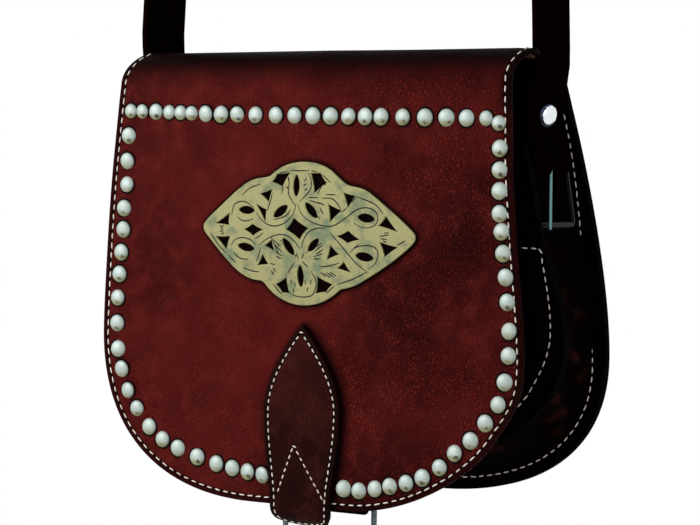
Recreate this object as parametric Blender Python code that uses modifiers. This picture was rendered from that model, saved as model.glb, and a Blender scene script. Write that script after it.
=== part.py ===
"""Leather shoulder bag with a studded flap, a pierced brass plate and two buckles.

Run with: blender --background --python part.py
Metres, +Z up, the front of the bag faces -Y. The origin is the point inside the
top of the shoulder strap where the bag hangs. Bag sizes are given around the
middle of the bag: x = 0 and y = 0 in the middle of the gusset, z = 0 at half height.
"""
import math

import bmesh
import bpy
from mathutils import Matrix, Vector

MM = 0.001
QUARTER_TURN = math.radians(90)
WHOLE_TURN = math.radians(360)

# Clearances shared by all pieces
SEAT_GAP = 0.3 * MM
CUT_OVERRUN = 4 * MM
WELD = 0.01 * MM

# How finely the forms are divided
PANEL_STEPS = 14
BEND_STEPS = 5
SINK_STEPS = 8
SWELL_STEPS = 5
WALL_STEPS = 8
LOOP_STEPS = 8
STRAP_STEPS = 20
CORNER_STEPS = 3
RING_STEPS = 9
DOME_STEPS = 5
LENS_STEPS = 5
ROUND_SIDES = 24

# Shoulder strap, hung up at its middle
STRAP_WIDTH = 37 * MM
STRAP_THICK = 3.2 * MM
STRAP_Y = 0.2 * MM
STRAP_RISE = 600 * MM
STRAP_LEAVES_BAG = 105 * MM
STRAP_LEAN_SHARE = 0.03
STRAP_SIDE_PULL = 250 * MM
STRAP_CROWN_PULL = 60 * MM
STRAP_LEFT_END = 60 * MM
STRAP_LEFT_OUT = 7 * MM
STRAP_SPLAY_DROP = 8 * MM
STRAP_RETURN = 12 * MM

# Leather thicknesses
BODY_LEATHER = 2.4 * MM
GUSSET_LEATHER = 2.0 * MM
FRONT_LEATHER = 2.0 * MM
POCKET_LEATHER = 1.8 * MM
LINING_LEATHER = 1.2 * MM

# Depth of the bag, between the outer faces of the flap and the back panel
FLAP_FACE_Y = -44 * MM
BACK_FACE_Y = 46 * MM
TOP_Z = 111 * MM

# Seams: the turned-out leather beyond the stitch line
BACK_FLANGE = 8 * MM
FRONT_FLANGE = 7 * MM

# Pulls of a panel's side curve and corner curve, as shares of the way across and down
SIDE_PULL_SHARES = ((0.4, 0.24), (1.0, 0.72))
CORNER_PULL_SHARES = ((0.0, 0.62), (0.36, 1.0))

# Back panel outline, right half, top to bottom
BACK_TOP_HALF = 105 * MM
BACK_WAIST_HALF = 135.5 * MM
BACK_WAIST_Z = -50 * MM
BACK_BOTTOM_HALF = 35 * MM
BACK_BOTTOM_Z = -125 * MM
BACK_TOP_BEND = 12 * MM

# Front panel outline, right half, top to bottom
FRONT_TOP_HALF = BACK_TOP_HALF + 16 * MM
FRONT_TOP_Z = 62 * MM
FRONT_WAIST_HALF = BACK_WAIST_HALF + 1.5 * MM
FRONT_WAIST_Z = -35 * MM
FRONT_BOTTOM_HALF = 30 * MM
FRONT_BOTTOM_Z = -104 * MM
FRONT_UPPER_Y = -27 * MM
FRONT_LOWER_Y = -6 * MM
FRONT_SINK_FROM = 30 * MM
FRONT_SINK_TO = -45 * MM

# Gusset: the side wall is flat and proud under the strap's end and folds in lower down
GUSSET_TOP_Z = TOP_Z - 9 * MM
GUSSET_RISE_SHARE = 0.25
GUSSET_CORNER_SHARES = (0.07, 0.3)
GUSSET_RAIL_SHARES = (0.0, 0.035, 0.07, 0.2, 0.45, 0.7, 0.8, 0.9, 1.0)
GUSSET_SEAT_SHARES = (0.22, 0.6)
GUSSET_FOLD = 8 * MM
GUSSET_FOLD_Z = 20 * MM
GUSSET_FOLD_REACH = 45 * MM

# Front pocket
POCKET_TOP_Z = 10 * MM
POCKET_SWELL = 9.4 * MM
POCKET_FLAT_HALF = 62 * MM
POCKET_SEAM_HALF = 118 * MM
POCKET_FLAT_BOTTOM = -72 * MM
POCKET_SEAM_BOTTOM = -96 * MM

# Flap outline, right half, and its bend over the top
FLAP_BEND = 18 * MM
FLAP_ROOT = 2 * MM
HINGE_Y = FLAP_FACE_Y + FLAP_BEND + FLAP_ROOT
FLAP_HINGE_HALF = FRONT_TOP_HALF - 0.5 * MM
FLAP_SHOULDER_HALF = FRONT_TOP_HALF + 0.5 * MM
FLAP_WAIST_HALF = BACK_WAIST_HALF - 4.8 * MM
FLAP_WAIST_Z = -42 * MM
FLAP_BOTTOM_HALF = 30 * MM
FLAP_BOTTOM_Z = -130 * MM
BRIDGE_FRONT_HALF = BACK_TOP_HALF + 7.5 * MM
BRIDGE_REAR_HALF = BACK_TOP_HALF - 1 * MM
LINING_INSET = 3 * MM

# Closure tab sewn on the flap, a leaf with a tail, and the buckle below it
CLOSURE_X = 1.5 * MM
TAB_TIP_Z = -34 * MM
TAB_WIDEST_HALF = 23.2 * MM
TAB_WIDEST_Z = -80 * MM
TAB_NECK_HALF = 18.5 * MM
TAB_CURL_Z = -130.3 * MM
TAB_CURL_RADIUS = 5 * MM
TAB_CURL_ANGLE = math.radians(70)
TAB_TAIL_LENGTH = 5 * MM
TAB_UPPER_SHARES = ((0.4, 0.24), (1.0, 0.6))
TAB_LOWER_SHARES = ((0.0, 0.4), (1.0, 0.7))
TAB_TAIL_SHARES = ((0.0, 0.7), (0.35, 1.0))

# Brass plate: its outline, in shares of its half length and half height
PLATE_HALF_LENGTH = 66 * MM
PLATE_HALF_HEIGHT = 37.8 * MM
PLATE_THICK = 1.2 * MM
PLATE_CENTRE_X = 1.0 * MM
PLATE_CENTRE_Z = 14.6 * MM
PLATE_NOTCH_SHARES = (0.35, 0.74)
PLATE_KNEE_SHARES = (0.7, 0.41)
PLATE_TIP_SHARES = (0.955, 0.085)
LOBE_PULL_SHARES = ((0.52, 0.0), (0.86, 0.385))
SHOULDER_PULL_SHARES = ((0.34, 0.0), (0.71, 0.42))
TIP_PULL_SHARES = ((0.44, 0.35), (1.0, 0.65))

# Pierced holes: centre across and up, then sizes, all as shares of the plate's half length,
# but up is a share of its half height; a turn is a share of a whole turn
LENS_SHARES = ((0.152, 0.31, 0.175, 0.078, -0.14), (0.57, 0.27, 0.14, 0.078, 0.0),
               (0.0, 0.635, 0.19, 0.068, 0.25))
SPEAR_SHARES = ((0.185, 0.735, 0.095, 0.195), (0.345, 0.29, 0.064, 0.28), (0.39, 0.53, 0.062, 0.75),
                (0.78, 0.185, 0.072, 0.415))
STAR_SHARES = ((0.42, 0.0, 0.076, 0.055, 0.62), (0.0, 0.0, 0.102, 0.09, 0.5))
SPEAR_HOLLOW_SHARE = 0.5

# Studs
STUD_RADIUS = 4.75 * MM
STUD_HEIGHT = 2.4 * MM
STUD_RIM = 0.2 * MM
STUD_ROOT = 0.6 * MM
STUD_SIDES = 10
STUD_RINGS = 6
STUD_ROW_LEFT_Z = 77 * MM
STUD_ROW_RIGHT_Z = 74 * MM
STUD_SIDE_INSET = 9.4 * MM
STUD_BOTTOM_INSET = 16.5 * MM
STUD_ROW_COUNT = 23
STUD_LEFT_COUNT = 21
STUD_RIGHT_COUNT = 22

# Buckles: wire frame, bar and prong
WIRE_RADIUS = 1.6 * MM
PRONG_RADIUS = 1.1 * MM
BUCKLE_CORNER = 2.4 * MM
BUCKLE_HEIGHT = 30 * MM
PRONG_SLOT = 3.4 * MM
PRONG_SLOT_LENGTH = 24 * MM
PRONG_OVERHANG = 1.2 * MM
LOOP_CLOSE_SHARE = 0.3

# Leather that carries the closure buckle
CHAPE_WIDTH = 38 * MM
CHAPE_THICK = 2.4 * MM
CHAPE_TOP_Z = -58 * MM
CHAPE_BAR_Z = -131 * MM
CHAPE_RETURN = 16 * MM
CLOSURE_PLAY = 2.9 * MM

# Buckle on the strap's right end; it leans on the gusset's front edge. Its sides are given as
# shares of the bag's depth
BUCKLE_SIDE_SHARES = (0.1, 0.65)
BUCKLE_STAND_OFF = 6.55 * MM
STRAP_BAR_OUT = 1.5 * MM
STRAP_BAR_Z = 51.4 * MM
BUCKLE_PLAY = 1.5 * MM
BUCKLE_SHIFT_Y = 1.2 * MM
BUCKLE_LEAN = math.radians(10)

# Rivets that hold the strap ends to the gusset
RIVET_Z = 78.4 * MM
RIVET_CAP_RADIUS = 6 * MM
RIVET_CAP_HEIGHT = 2.6 * MM
RIVET_CAP_RIM = 0.7 * MM
RIVET_POST_RADIUS = 2 * MM
BURR_RADIUS = 4.5 * MM
BURR_THICK = 1 * MM


def smooth_step(value):
    """Ease from 0 to 1 while value goes from 0 to 1."""
    value = min(1.0, max(0.0, value))
    return value * value * (3 - 2 * value)


def blend(start, end, share):
    return start + (end - start) * share


def cubic(start, pull_start, pull_end, end, steps):
    """Points of one cubic curve, both ends included."""
    points = []
    for step in range(steps + 1):
        t = step / steps
        points.append(start * (1 - t) ** 3 + pull_start * (3 * t * (1 - t) ** 2)
                      + pull_end * (3 * t * t * (1 - t)) + end * t ** 3)
    return points


def pulled_curve(start, end, pull_shares, steps):
    """A cubic curve in the plane, its pulls given as shares of the way from start to end."""
    pulls = [Vector((blend(start.x, end.x, across), blend(start.y, end.y, down)))
             for across, down in pull_shares]
    return cubic(start, pulls[0], pulls[1], end, steps)


def half_outline(top_half, top_z, waist_half, waist_z, bottom_half, bottom_z, steps=PANEL_STEPS):
    """Right half of a panel, from its top corner down to the bottom middle, as (x, z) points."""
    waist = Vector((waist_half, waist_z))
    side = pulled_curve(Vector((top_half, top_z)), waist, SIDE_PULL_SHARES, steps)
    corner = pulled_curve(waist, Vector((bottom_half, bottom_z)), CORNER_PULL_SHARES, steps)
    return side + corner[1:] + [Vector((0, bottom_z))]


def inset_points(points, distance):
    """Move an outline inwards; its right half runs downwards, so inwards is to its left."""
    moved = []
    for index, point in enumerate(points):
        before = points[max(index - 1, 0)]
        after = points[min(index + 1, len(points) - 1)]
        run = (after - before).normalized()
        moved.append(point + Vector((run.y, -run.x)) * distance)
    moved[-1].x = 0
    return moved


def mirror_half(points):
    """The whole outline, left top over the bottom to right top."""
    left = [Vector((-point.x, point.y)) for point in points]
    return left + [point.copy() for point in reversed(points[:-1])]


def back_outline():
    return half_outline(BACK_TOP_HALF, TOP_Z - BACK_TOP_BEND, BACK_WAIST_HALF, BACK_WAIST_Z,
                        BACK_BOTTOM_HALF, BACK_BOTTOM_Z)


def front_outline():
    return half_outline(FRONT_TOP_HALF, FRONT_TOP_Z, FRONT_WAIST_HALF, FRONT_WAIST_Z,
                        FRONT_BOTTOM_HALF, FRONT_BOTTOM_Z)


def flap_outline(steps=PANEL_STEPS):
    return half_outline(FLAP_SHOULDER_HALF, TOP_Z - FLAP_BEND, FLAP_WAIST_HALF, FLAP_WAIST_Z,
                        FLAP_BOTTOM_HALF, FLAP_BOTTOM_Z, steps)


def front_face_y(z):
    """Outer face of the front panel, which sinks in below its upper part."""
    share = smooth_step((FRONT_SINK_FROM - z) / (FRONT_SINK_FROM - FRONT_SINK_TO))
    return blend(FRONT_UPPER_Y, FRONT_LOWER_Y, share)


def clear_scene():
    for item in list(bpy.data.objects):
        bpy.data.objects.remove(item, do_unlink=True)


def make_collection(name):
    collection = bpy.data.collections.new(name)
    bpy.context.scene.collection.children.link(collection)
    return collection


def make_material(name, colour, roughness, metallic=0.0):
    material = bpy.data.materials.new(name)
    material.use_nodes = True
    shader = material.node_tree.nodes["Principled BSDF"]
    shader.inputs["Base Color"].default_value = (*colour, 1)
    shader.inputs["Roughness"].default_value = roughness
    shader.inputs["Metallic"].default_value = metallic
    return material


clear_scene()
PARTS = make_collection("leather_bag")
CUTTERS = make_collection("cutters")

OXBLOOD = make_material("oxblood_leather", (0.11, 0.012, 0.014), 0.5)
DARK_OXBLOOD = make_material("dark_oxblood_leather", (0.03, 0.004, 0.006), 0.45)
SUEDE = make_material("suede_side_of_leather", (0.09, 0.03, 0.02), 0.9)
NICKEL = make_material("nickel", (0.72, 0.74, 0.72), 0.25, 1.0)
BRASS = make_material("brass", (0.5, 0.5, 0.22), 0.4, 1.0)
STEEL = make_material("steel", (0.5, 0.56, 0.58), 0.3, 1.0)
BLACK_STEEL = make_material("blackened_steel", (0.02, 0.02, 0.025), 0.35, 1.0)


def world(point):
    """A point given around the middle of the bag, in the part's own frame."""
    return Vector(point) - Vector((0, 0, STRAP_RISE))


def add_pivot(name, location, turn=(0, 0, 0)):
    """An empty on a joint's axis, which carries what turns there."""
    pivot = bpy.data.objects.new(name, None)
    PARTS.objects.link(pivot)
    pivot.location = location
    pivot.rotation_euler = turn
    return pivot


def add_object(name, mesh, material, parent=None, location=(0, 0, 0), sharp_angle=35):
    """A piece on its pivot, or in the part's own frame where it has none."""
    item = bpy.data.objects.new(name, mesh)
    mesh.materials.clear()
    mesh.materials.append(material)
    mesh.shade_smooth()
    mesh.set_sharp_from_angle(angle=math.radians(sharp_angle))
    PARTS.objects.link(item)
    item.parent = parent
    item.location = location
    return item


def mesh_from(bm, name):
    mesh = bpy.data.meshes.new(name)
    bm.normal_update()
    bm.to_mesh(mesh)
    bm.free()
    return mesh


def add_modifier(item, kind, **settings):
    modifier = item.modifiers.new(kind.lower(), kind)
    for key, value in settings.items():
        setattr(modifier, key, value)
    return modifier


def thicken(item, thickness, offset=-1.0, even=True):
    add_modifier(item, "SOLIDIFY", thickness=thickness, offset=offset, use_even_offset=even)


def sheet(name, outline, place, outward, levels_x=(), levels_z=()):
    """An open sheet: a flat outline in x and z, cut at the given levels and then put in place."""
    bm = bmesh.new()
    corners = [bm.verts.new((point.x, 0, point.y)) for point in outline]
    bm.faces.new(corners)
    for axis, levels in ((Vector((1, 0, 0)), levels_x), (Vector((0, 0, 1)), levels_z)):
        for level in levels:
            geometry = bm.verts[:] + bm.edges[:] + bm.faces[:]
            bmesh.ops.bisect_plane(bm, geom=geometry, dist=WELD, plane_co=axis * level, plane_no=axis)
    for vert in bm.verts:
        vert.co = place(vert.co.x, vert.co.z)
    bm.normal_update()
    middle = max(bm.faces, key=lambda face: face.calc_area())
    if middle.normal.dot(Vector(outward)) < 0:
        bmesh.ops.reverse_faces(bm, faces=bm.faces[:])
    return mesh_from(bm, name)


def around_bag(point):
    """Direction away from a line through the middle of the bag from front to back."""
    return Vector((point.x, 0, point.z + STRAP_RISE))


def grid_on_rails(name, rails, outward):
    """An open sheet through rails that have as many points as each other."""
    count = len(rails[0])
    bm = bmesh.new()
    bmesh.ops.create_grid(bm, x_segments=count - 1, y_segments=len(rails) - 1, size=1)
    for vert in bm.verts:
        along = round((vert.co.x + 1) / 2 * (count - 1))
        across = round((vert.co.y + 1) / 2 * (len(rails) - 1))
        vert.co = rails[across][along]
    bm.normal_update()
    middle = max(bm.faces, key=lambda face: face.calc_area())
    if middle.normal.dot(outward(middle.calc_center_median())) < 0:
        bmesh.ops.reverse_faces(bm, faces=bm.faces[:])
    return mesh_from(bm, name)


def levels_between(start, end, count):
    """Inner levels that cut a stretch into count equal steps."""
    return [blend(start, end, step / count) for step in range(1, count)]


def cut(item, cutter):
    add_modifier(item, "BOOLEAN", object=cutter, operation="DIFFERENCE", solver="EXACT")


def cutter_object(name, bm, location, parent=None):
    item = bpy.data.objects.new(name, mesh_from(bm, name))
    CUTTERS.objects.link(item)
    item.parent = parent
    item.location = location
    item.hide_render = True
    item.display_type = "WIRE"
    return item


def cutter_box(name, size, location):
    bm = bmesh.new()
    bmesh.ops.create_cube(bm, size=1)
    bmesh.ops.scale(bm, vec=Vector(size), verts=bm.verts[:])
    return cutter_object(name, bm, location)


def cutter_pin(name, radius, length, location):
    """A round cutter along X."""
    bm = bmesh.new()
    turn = Matrix.Rotation(QUARTER_TURN, 4, "Y")
    bmesh.ops.create_cone(bm, cap_ends=True, segments=ROUND_SIDES, radius1=radius, radius2=radius,
                          depth=length, matrix=turn)
    return cutter_object(name, bm, location)


def wire(name, points, radius, material, parent, closed=False):
    """A round wire along a route."""
    curve = bpy.data.curves.new(name, "CURVE")
    curve.dimensions = "3D"
    curve.bevel_depth = radius
    curve.bevel_resolution = 2
    curve.use_fill_caps = not closed
    spline = curve.splines.new("POLY")
    spline.points.add(len(points) - 1)
    for spot, point in zip(spline.points, points):
        spot.co = (*point, 1)
    spline.use_cyclic_u = closed
    curve.materials.append(material)
    item = bpy.data.objects.new(name, curve)
    PARTS.objects.link(item)
    item.parent = parent


def build_back_panel():
    """Back panel and top in one sheet, which bends forward and ends where the flap hangs."""
    bend_length = BACK_TOP_BEND * QUARTER_TURN
    spring_z = TOP_Z - BACK_TOP_BEND
    top_length = BACK_FACE_Y - BACK_TOP_BEND - HINGE_Y - SEAT_GAP
    half = [Vector((BRIDGE_FRONT_HALF, spring_z + bend_length + top_length)),
            Vector((BRIDGE_REAR_HALF, spring_z + bend_length))] + back_outline()

    def place(x, z):
        over = max(0.0, z - spring_z)
        turn = min(over, bend_length) / BACK_TOP_BEND
        forward = BACK_TOP_BEND * (1 - math.cos(turn)) + max(0.0, over - bend_length)
        return world((x, BACK_FACE_Y - forward, min(z, spring_z) + BACK_TOP_BEND * math.sin(turn)))

    levels = [spring_z, spring_z + bend_length] + levels_between(spring_z, spring_z + bend_length, BEND_STEPS)
    item = add_object("back_panel", sheet("back_panel", mirror_half(half), place, (0, 1, 0), levels_z=levels),
                      DARK_OXBLOOD)
    thicken(item, BODY_LEATHER)


def sink_levels():
    return [FRONT_SINK_TO, FRONT_SINK_FROM] + levels_between(FRONT_SINK_TO, FRONT_SINK_FROM, SINK_STEPS)


def build_front_panel():
    """Front panel, behind the flap, sinking in towards the back."""
    mesh = sheet("front_panel", mirror_half(front_outline()),
                 lambda x, z: world((x, front_face_y(z), z)), (0, -1, 0), levels_z=sink_levels())
    thicken(add_object("front_panel", mesh, DARK_OXBLOOD), FRONT_LEATHER)


def gusset_half(share):
    """Right half of the gusset's line before it meets the strap or folds, share 0 at the front seam."""
    rise = smooth_step(share / GUSSET_RISE_SHARE)
    back_top_z = TOP_Z - BACK_TOP_BEND
    crest = blend(blend(FRONT_TOP_Z, back_top_z, share), GUSSET_TOP_Z, rise * (1 - share))
    half = half_outline(blend(FRONT_TOP_HALF, BACK_TOP_HALF, rise), crest,
                        blend(FRONT_WAIST_HALF, BACK_WAIST_HALF, share),
                        blend(FRONT_WAIST_Z, BACK_WAIST_Z, share),
                        blend(FRONT_BOTTOM_HALF, BACK_BOTTOM_HALF, share),
                        blend(FRONT_BOTTOM_Z, BACK_BOTTOM_Z, share))
    return inset_points(half, blend(FRONT_FLANGE, BACK_FLANGE, share))


def half_at(half, z):
    """Half width of a right half at a height."""
    for before, after in zip(half, half[1:]):
        if before.y >= z > after.y:
            return blend(before.x, after.x, (before.y - z) / (before.y - after.y))
    return half[0].x


def flat_share(share):
    """0 in the gusset's corners and 1 in the middle of its wall."""
    fore_corner, aft_corner = GUSSET_CORNER_SHARES
    return smooth_step(min(share / fore_corner, (1 - share) / aft_corner))


def fold_depth(z):
    """How far the wall folds in at a height."""
    return GUSSET_FOLD * math.exp(-((z - GUSSET_FOLD_Z) / GUSSET_FOLD_REACH) ** 2)


def strap_half_span():
    """Middle of the strap's thickness, so that the leaning buckle stands off the wall at its top and foot."""
    reaches = []
    for share in BUCKLE_SIDE_SHARES:
        for z in (STRAP_BAR_Z, STRAP_BAR_Z - BUCKLE_HEIGHT):
            wall = half_at(gusset_half(share), z) - fold_depth(z) * flat_share(share)
            reaches.append(wall - (STRAP_BAR_Z - z) * math.tan(BUCKLE_LEAN))
    return max(reaches) + BUCKLE_STAND_OFF


def strap_seat_x():
    """Where the gusset's outer face meets the strap's end."""
    return STRAP_HALF_SPAN - STRAP_THICK / 2 - SEAT_GAP


def side_out(side):
    """How much further out the left side wall and its end of the strap stand."""
    return STRAP_LEFT_OUT if side < 0 else 0.0


def wall_x(seam_x, z, share, side):
    """The side wall's outer face, from the straight line between its seams."""
    seat_from, seat_to = [blend(STRAP_BAR_Z, RIVET_Z, part) for part in GUSSET_SEAT_SHARES]
    seated = smooth_step((z - seat_from) / (seat_to - seat_from))
    seat_x = strap_seat_x() + side_out(side)
    return seam_x + ((seat_x - seam_x) * seated - fold_depth(z) * (1 - seated)) * flat_share(share)


def gusset_seam_y(z):
    """Front and back ends of the wall's outer face at a height."""
    slope = (front_face_y(z + MM) - front_face_y(z - MM)) / (MM * 2)
    stack = (FRONT_LEATHER + SEAT_GAP + GUSSET_LEATHER) * math.hypot(1, slope)
    return front_face_y(z) + stack, BACK_FACE_Y - BODY_LEATHER - SEAT_GAP - GUSSET_LEATHER


def gusset_rail(share):
    """Outer face of the wall from side to side, share 0 at the front seam and 1 at the back seam."""
    rail = []
    for point in mirror_half(gusset_half(share)):
        wide_share = smooth_step(abs(point.x) / BACK_TOP_HALF)
        reach = blend(abs(point.x), wall_x(abs(point.x), point.y, share, point.x), wide_share)
        fore_y, aft_y = gusset_seam_y(point.y)
        rail.append(world((math.copysign(reach, point.x), blend(fore_y, aft_y, share), point.y)))
    return rail


def build_gusset():
    """Gusset, one strip round both sides and the bottom with its edges turned out."""
    rails = [gusset_rail(share) for share in GUSSET_RAIL_SHARES]
    edges = []
    for outline, end in ((front_outline(), 0), (back_outline(), 1)):
        edges.append([world((point.x, gusset_seam_y(point.y)[end], point.y)) for point in mirror_half(outline)])
    mesh = grid_on_rails("gusset", [edges[0]] + rails + [edges[1]], around_bag)
    item = add_object("gusset", mesh, DARK_OXBLOOD)
    thicken(item, GUSSET_LEATHER, even=False)
    return item


def build_front_pocket():
    """Pocket patch sewn on the front panel along the same edge, swollen in the middle."""
    half = [point for point in front_outline() if point.y < POCKET_TOP_Z]
    half.insert(0, Vector((half[0].x, POCKET_TOP_Z)))

    def place(x, z):
        across = smooth_step((POCKET_SEAM_HALF - abs(x)) / (POCKET_SEAM_HALF - POCKET_FLAT_HALF))
        down = smooth_step((z - POCKET_SEAM_BOTTOM) / (POCKET_FLAT_BOTTOM - POCKET_SEAM_BOTTOM))
        return world((x, front_face_y(z) - SEAT_GAP - POCKET_SWELL * across * down, z))

    right = [POCKET_FLAT_HALF, POCKET_SEAM_HALF] + levels_between(POCKET_FLAT_HALF, POCKET_SEAM_HALF, SWELL_STEPS)
    levels = [POCKET_SEAM_BOTTOM, POCKET_FLAT_BOTTOM] + sink_levels()
    levels += levels_between(POCKET_SEAM_BOTTOM, POCKET_FLAT_BOTTOM, SWELL_STEPS)
    mesh = sheet("front_pocket", mirror_half(half), place, (0, -1, 0),
                 levels_x=[-level for level in right] + right, levels_z=levels)
    thicken(add_object("front_pocket", mesh, DARK_OXBLOOD), POCKET_LEATHER, offset=1.0)


def on_hinge(x, y, z):
    """A point of the bag, seen from the flap's hinge."""
    return Vector((x, y - HINGE_Y, z - TOP_Z))


def flap_sheet(name, inset, depth, thickness, material, hinge):
    """One layer of the flap at a depth under its outer face, from the hinge over the bend and down."""
    spring_z = TOP_Z - FLAP_BEND
    bend_length = FLAP_BEND * QUARTER_TURN
    radius = FLAP_BEND - depth
    half = [Vector((FLAP_HINGE_HALF - inset, spring_z + bend_length + FLAP_ROOT))]
    half += inset_points(flap_outline(), inset)

    def place(x, z):
        over = max(0.0, z - spring_z)
        turn = min(over, bend_length) / FLAP_BEND
        back = FLAP_BEND - radius * math.cos(turn) + max(0.0, over - bend_length)
        return on_hinge(x, FLAP_FACE_Y + back, min(z, spring_z) + radius * math.sin(turn))

    levels = [spring_z, spring_z + bend_length] + levels_between(spring_z, spring_z + bend_length, BEND_STEPS)
    mesh = sheet(name, mirror_half(half), place, (0, -1, 0), levels_z=levels)
    item = add_object(name, mesh, material, hinge)
    thicken(item, thickness)
    return item


def build_closure_tab(hinge):
    """Leaf sewn on the flap; its tail curls back under the lower edge."""
    curl_length = TAB_CURL_RADIUS * TAB_CURL_ANGLE
    end_z = TAB_CURL_Z - curl_length - TAB_TAIL_LENGTH
    tip = Vector((0, TAB_TIP_Z))
    widest = Vector((TAB_WIDEST_HALF, TAB_WIDEST_Z))
    neck = Vector((TAB_NECK_HALF, TAB_CURL_Z))
    right = pulled_curve(tip, widest, TAB_UPPER_SHARES, PANEL_STEPS)[1:]
    right += pulled_curve(widest, neck, TAB_LOWER_SHARES, BEND_STEPS)[1:]
    right += pulled_curve(neck, Vector((0, end_z)), TAB_TAIL_SHARES, BEND_STEPS)[1:]
    outline = [tip] + right + [Vector((-point.x, point.y)) for point in reversed(right[:-1])]

    def place(x, z):
        past = max(0.0, TAB_CURL_Z - z)
        turn = min(past, curl_length) / TAB_CURL_RADIUS
        straight = max(0.0, past - curl_length)
        back = TAB_CURL_RADIUS * (1 - math.cos(turn)) + straight * math.sin(turn)
        down = TAB_CURL_RADIUS * math.sin(turn) + straight * math.cos(turn)
        return on_hinge(CLOSURE_X + x, FLAP_FACE_Y - SEAT_GAP + back, max(z, TAB_CURL_Z) - down)

    levels = [TAB_CURL_Z, TAB_CURL_Z - curl_length]
    levels += levels_between(TAB_CURL_Z, TAB_CURL_Z - curl_length, BEND_STEPS)
    mesh = sheet("closure_tab", outline, place, (0, -1, 0), levels_z=levels)
    thicken(add_object("closure_tab", mesh, DARK_OXBLOOD, hinge), BODY_LEATHER, offset=1.0)


def stud_path():
    """The line that the side and bottom studs follow, right half, downwards."""
    outline = flap_outline(steps=PANEL_STEPS * WALL_STEPS)
    side = inset_points(outline, STUD_SIDE_INSET)
    bottom = inset_points(outline, STUD_BOTTOM_INSET)
    path = []
    for outer, inner, edge in zip(side, bottom, outline):
        lower = smooth_step((FLAP_WAIST_Z - edge.y) / (FLAP_WAIST_Z - FLAP_BOTTOM_Z))
        path.append(outer.lerp(inner, lower))
    return path


def spaced(path, count):
    """Points at equal steps along a path, both ends included."""
    lengths = [0.0]
    for before, after in zip(path, path[1:]):
        lengths.append(lengths[-1] + (after - before).length)
    spots = []
    index = 0
    for step in range(count):
        wanted = lengths[-1] * step / (count - 1)
        while index < len(path) - 2 and lengths[index + 1] < wanted:
            index += 1
        share = (wanted - lengths[index]) / (lengths[index + 1] - lengths[index])
        spots.append(path[index].lerp(path[index + 1], share))
    return spots


def stud_mesh():
    """One low dome with its crown towards -Y, its rim off the leather and its root in it."""
    bm = bmesh.new()
    squash = STUD_HEIGHT / STUD_RADIUS
    bmesh.ops.create_uvsphere(bm, u_segments=STUD_SIDES, v_segments=STUD_RINGS, radius=STUD_RADIUS)
    geometry = bm.verts[:] + bm.edges[:] + bm.faces[:]
    bmesh.ops.bisect_plane(bm, geom=geometry, dist=WELD, plane_co=(0, 0, -(STUD_RIM + STUD_ROOT) / squash),
                           plane_no=(0, 0, 1), clear_inner=True)
    bmesh.ops.contextual_create(bm, geom=[edge for edge in bm.edges if edge.is_boundary])
    bmesh.ops.recalc_face_normals(bm, faces=bm.faces[:])
    bmesh.ops.scale(bm, vec=Vector((1, 1, squash)), verts=bm.verts[:])
    bmesh.ops.rotate(bm, matrix=Matrix.Rotation(QUARTER_TURN, 3, "X"), verts=bm.verts[:])
    return mesh_from(bm, "stud")


def stud_spots():
    """One row across the top and a row down each side to the closure tab."""
    clear_x = CLOSURE_X + TAB_WIDEST_HALF + STUD_RADIUS
    side_spots = []
    corners = []
    for row_z, count, side in ((STUD_ROW_LEFT_Z, STUD_LEFT_COUNT, -1), (STUD_ROW_RIGHT_Z, STUD_RIGHT_COUNT, 1)):
        path = [Vector((point.x * side, point.y)) for point in stud_path()
                if point.y <= row_z and point.x >= clear_x]
        corners.append(path[0])
        side_spots += spaced(path, count + 1)[1:]
    return spaced(corners, STUD_ROW_COUNT) + side_spots


def add_studs(flap, hinge):
    """The domed studs, one body with the leather that they are pressed into."""
    stud = stud_mesh()
    bm = bmesh.new()
    for spot in stud_spots():
        first = len(bm.verts)
        bm.from_mesh(stud)
        bm.verts.ensure_lookup_table()
        bmesh.ops.translate(bm, vec=on_hinge(spot.x, FLAP_FACE_Y - STUD_RIM, spot.y), verts=bm.verts[first:])
    bpy.data.meshes.remove(stud)
    studs = cutter_object("stud_guides", bm, (0, 0, 0), hinge)
    add_modifier(flap, "BOOLEAN", object=studs, operation="UNION", solver="EXACT")


def plate_point(shares):
    return Vector((PLATE_HALF_LENGTH * shares[0], PLATE_HALF_HEIGHT * shares[1]))


def plate_outline():
    """Pointed at the ends, with a lobe at the top and bottom and a shoulder at each quarter."""
    crown = plate_point((0, 1))
    notch = plate_point(PLATE_NOTCH_SHARES)
    knee = plate_point(PLATE_KNEE_SHARES)
    tip = plate_point(PLATE_TIP_SHARES)
    quarter = pulled_curve(crown, notch, LOBE_PULL_SHARES, BEND_STEPS)
    quarter += pulled_curve(notch, knee, SHOULDER_PULL_SHARES, BEND_STEPS)[1:]
    quarter += pulled_curve(tip, plate_point((1, 0)), TIP_PULL_SHARES, CORNER_STEPS)
    right = quarter + [Vector((point.x, -point.y)) for point in reversed(quarter[:-1])]
    return right + [Vector((-point.x, point.y)) for point in reversed(right[1:-1])]


def lens(centre, length, width, turn):
    """A hole between two arcs, pointed at both ends."""
    along = Vector((math.cos(turn), math.sin(turn))) * length / 2
    across = Vector((-math.sin(turn), math.cos(turn))) * width / 2
    angles = [math.pi * step / LENS_STEPS for step in range(LENS_STEPS)]
    upper = [centre + along * math.cos(angle) + across * math.sin(angle) for angle in angles]
    lower = [centre - along * math.cos(angle) - across * math.sin(angle) for angle in angles]
    return upper + lower


def pointed_ring(centre, reach_x, reach_z, hollow_share, points, turn=0.0):
    """A hole with pointed arms and hollow sides."""
    ring = []
    for step in range(points * 2):
        angle = turn + math.pi * step / points
        reach = 1.0 if step % 2 == 0 else hollow_share
        ring.append(centre + Vector((reach_x * math.cos(angle), reach_z * math.sin(angle))) * reach)
    return ring


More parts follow.
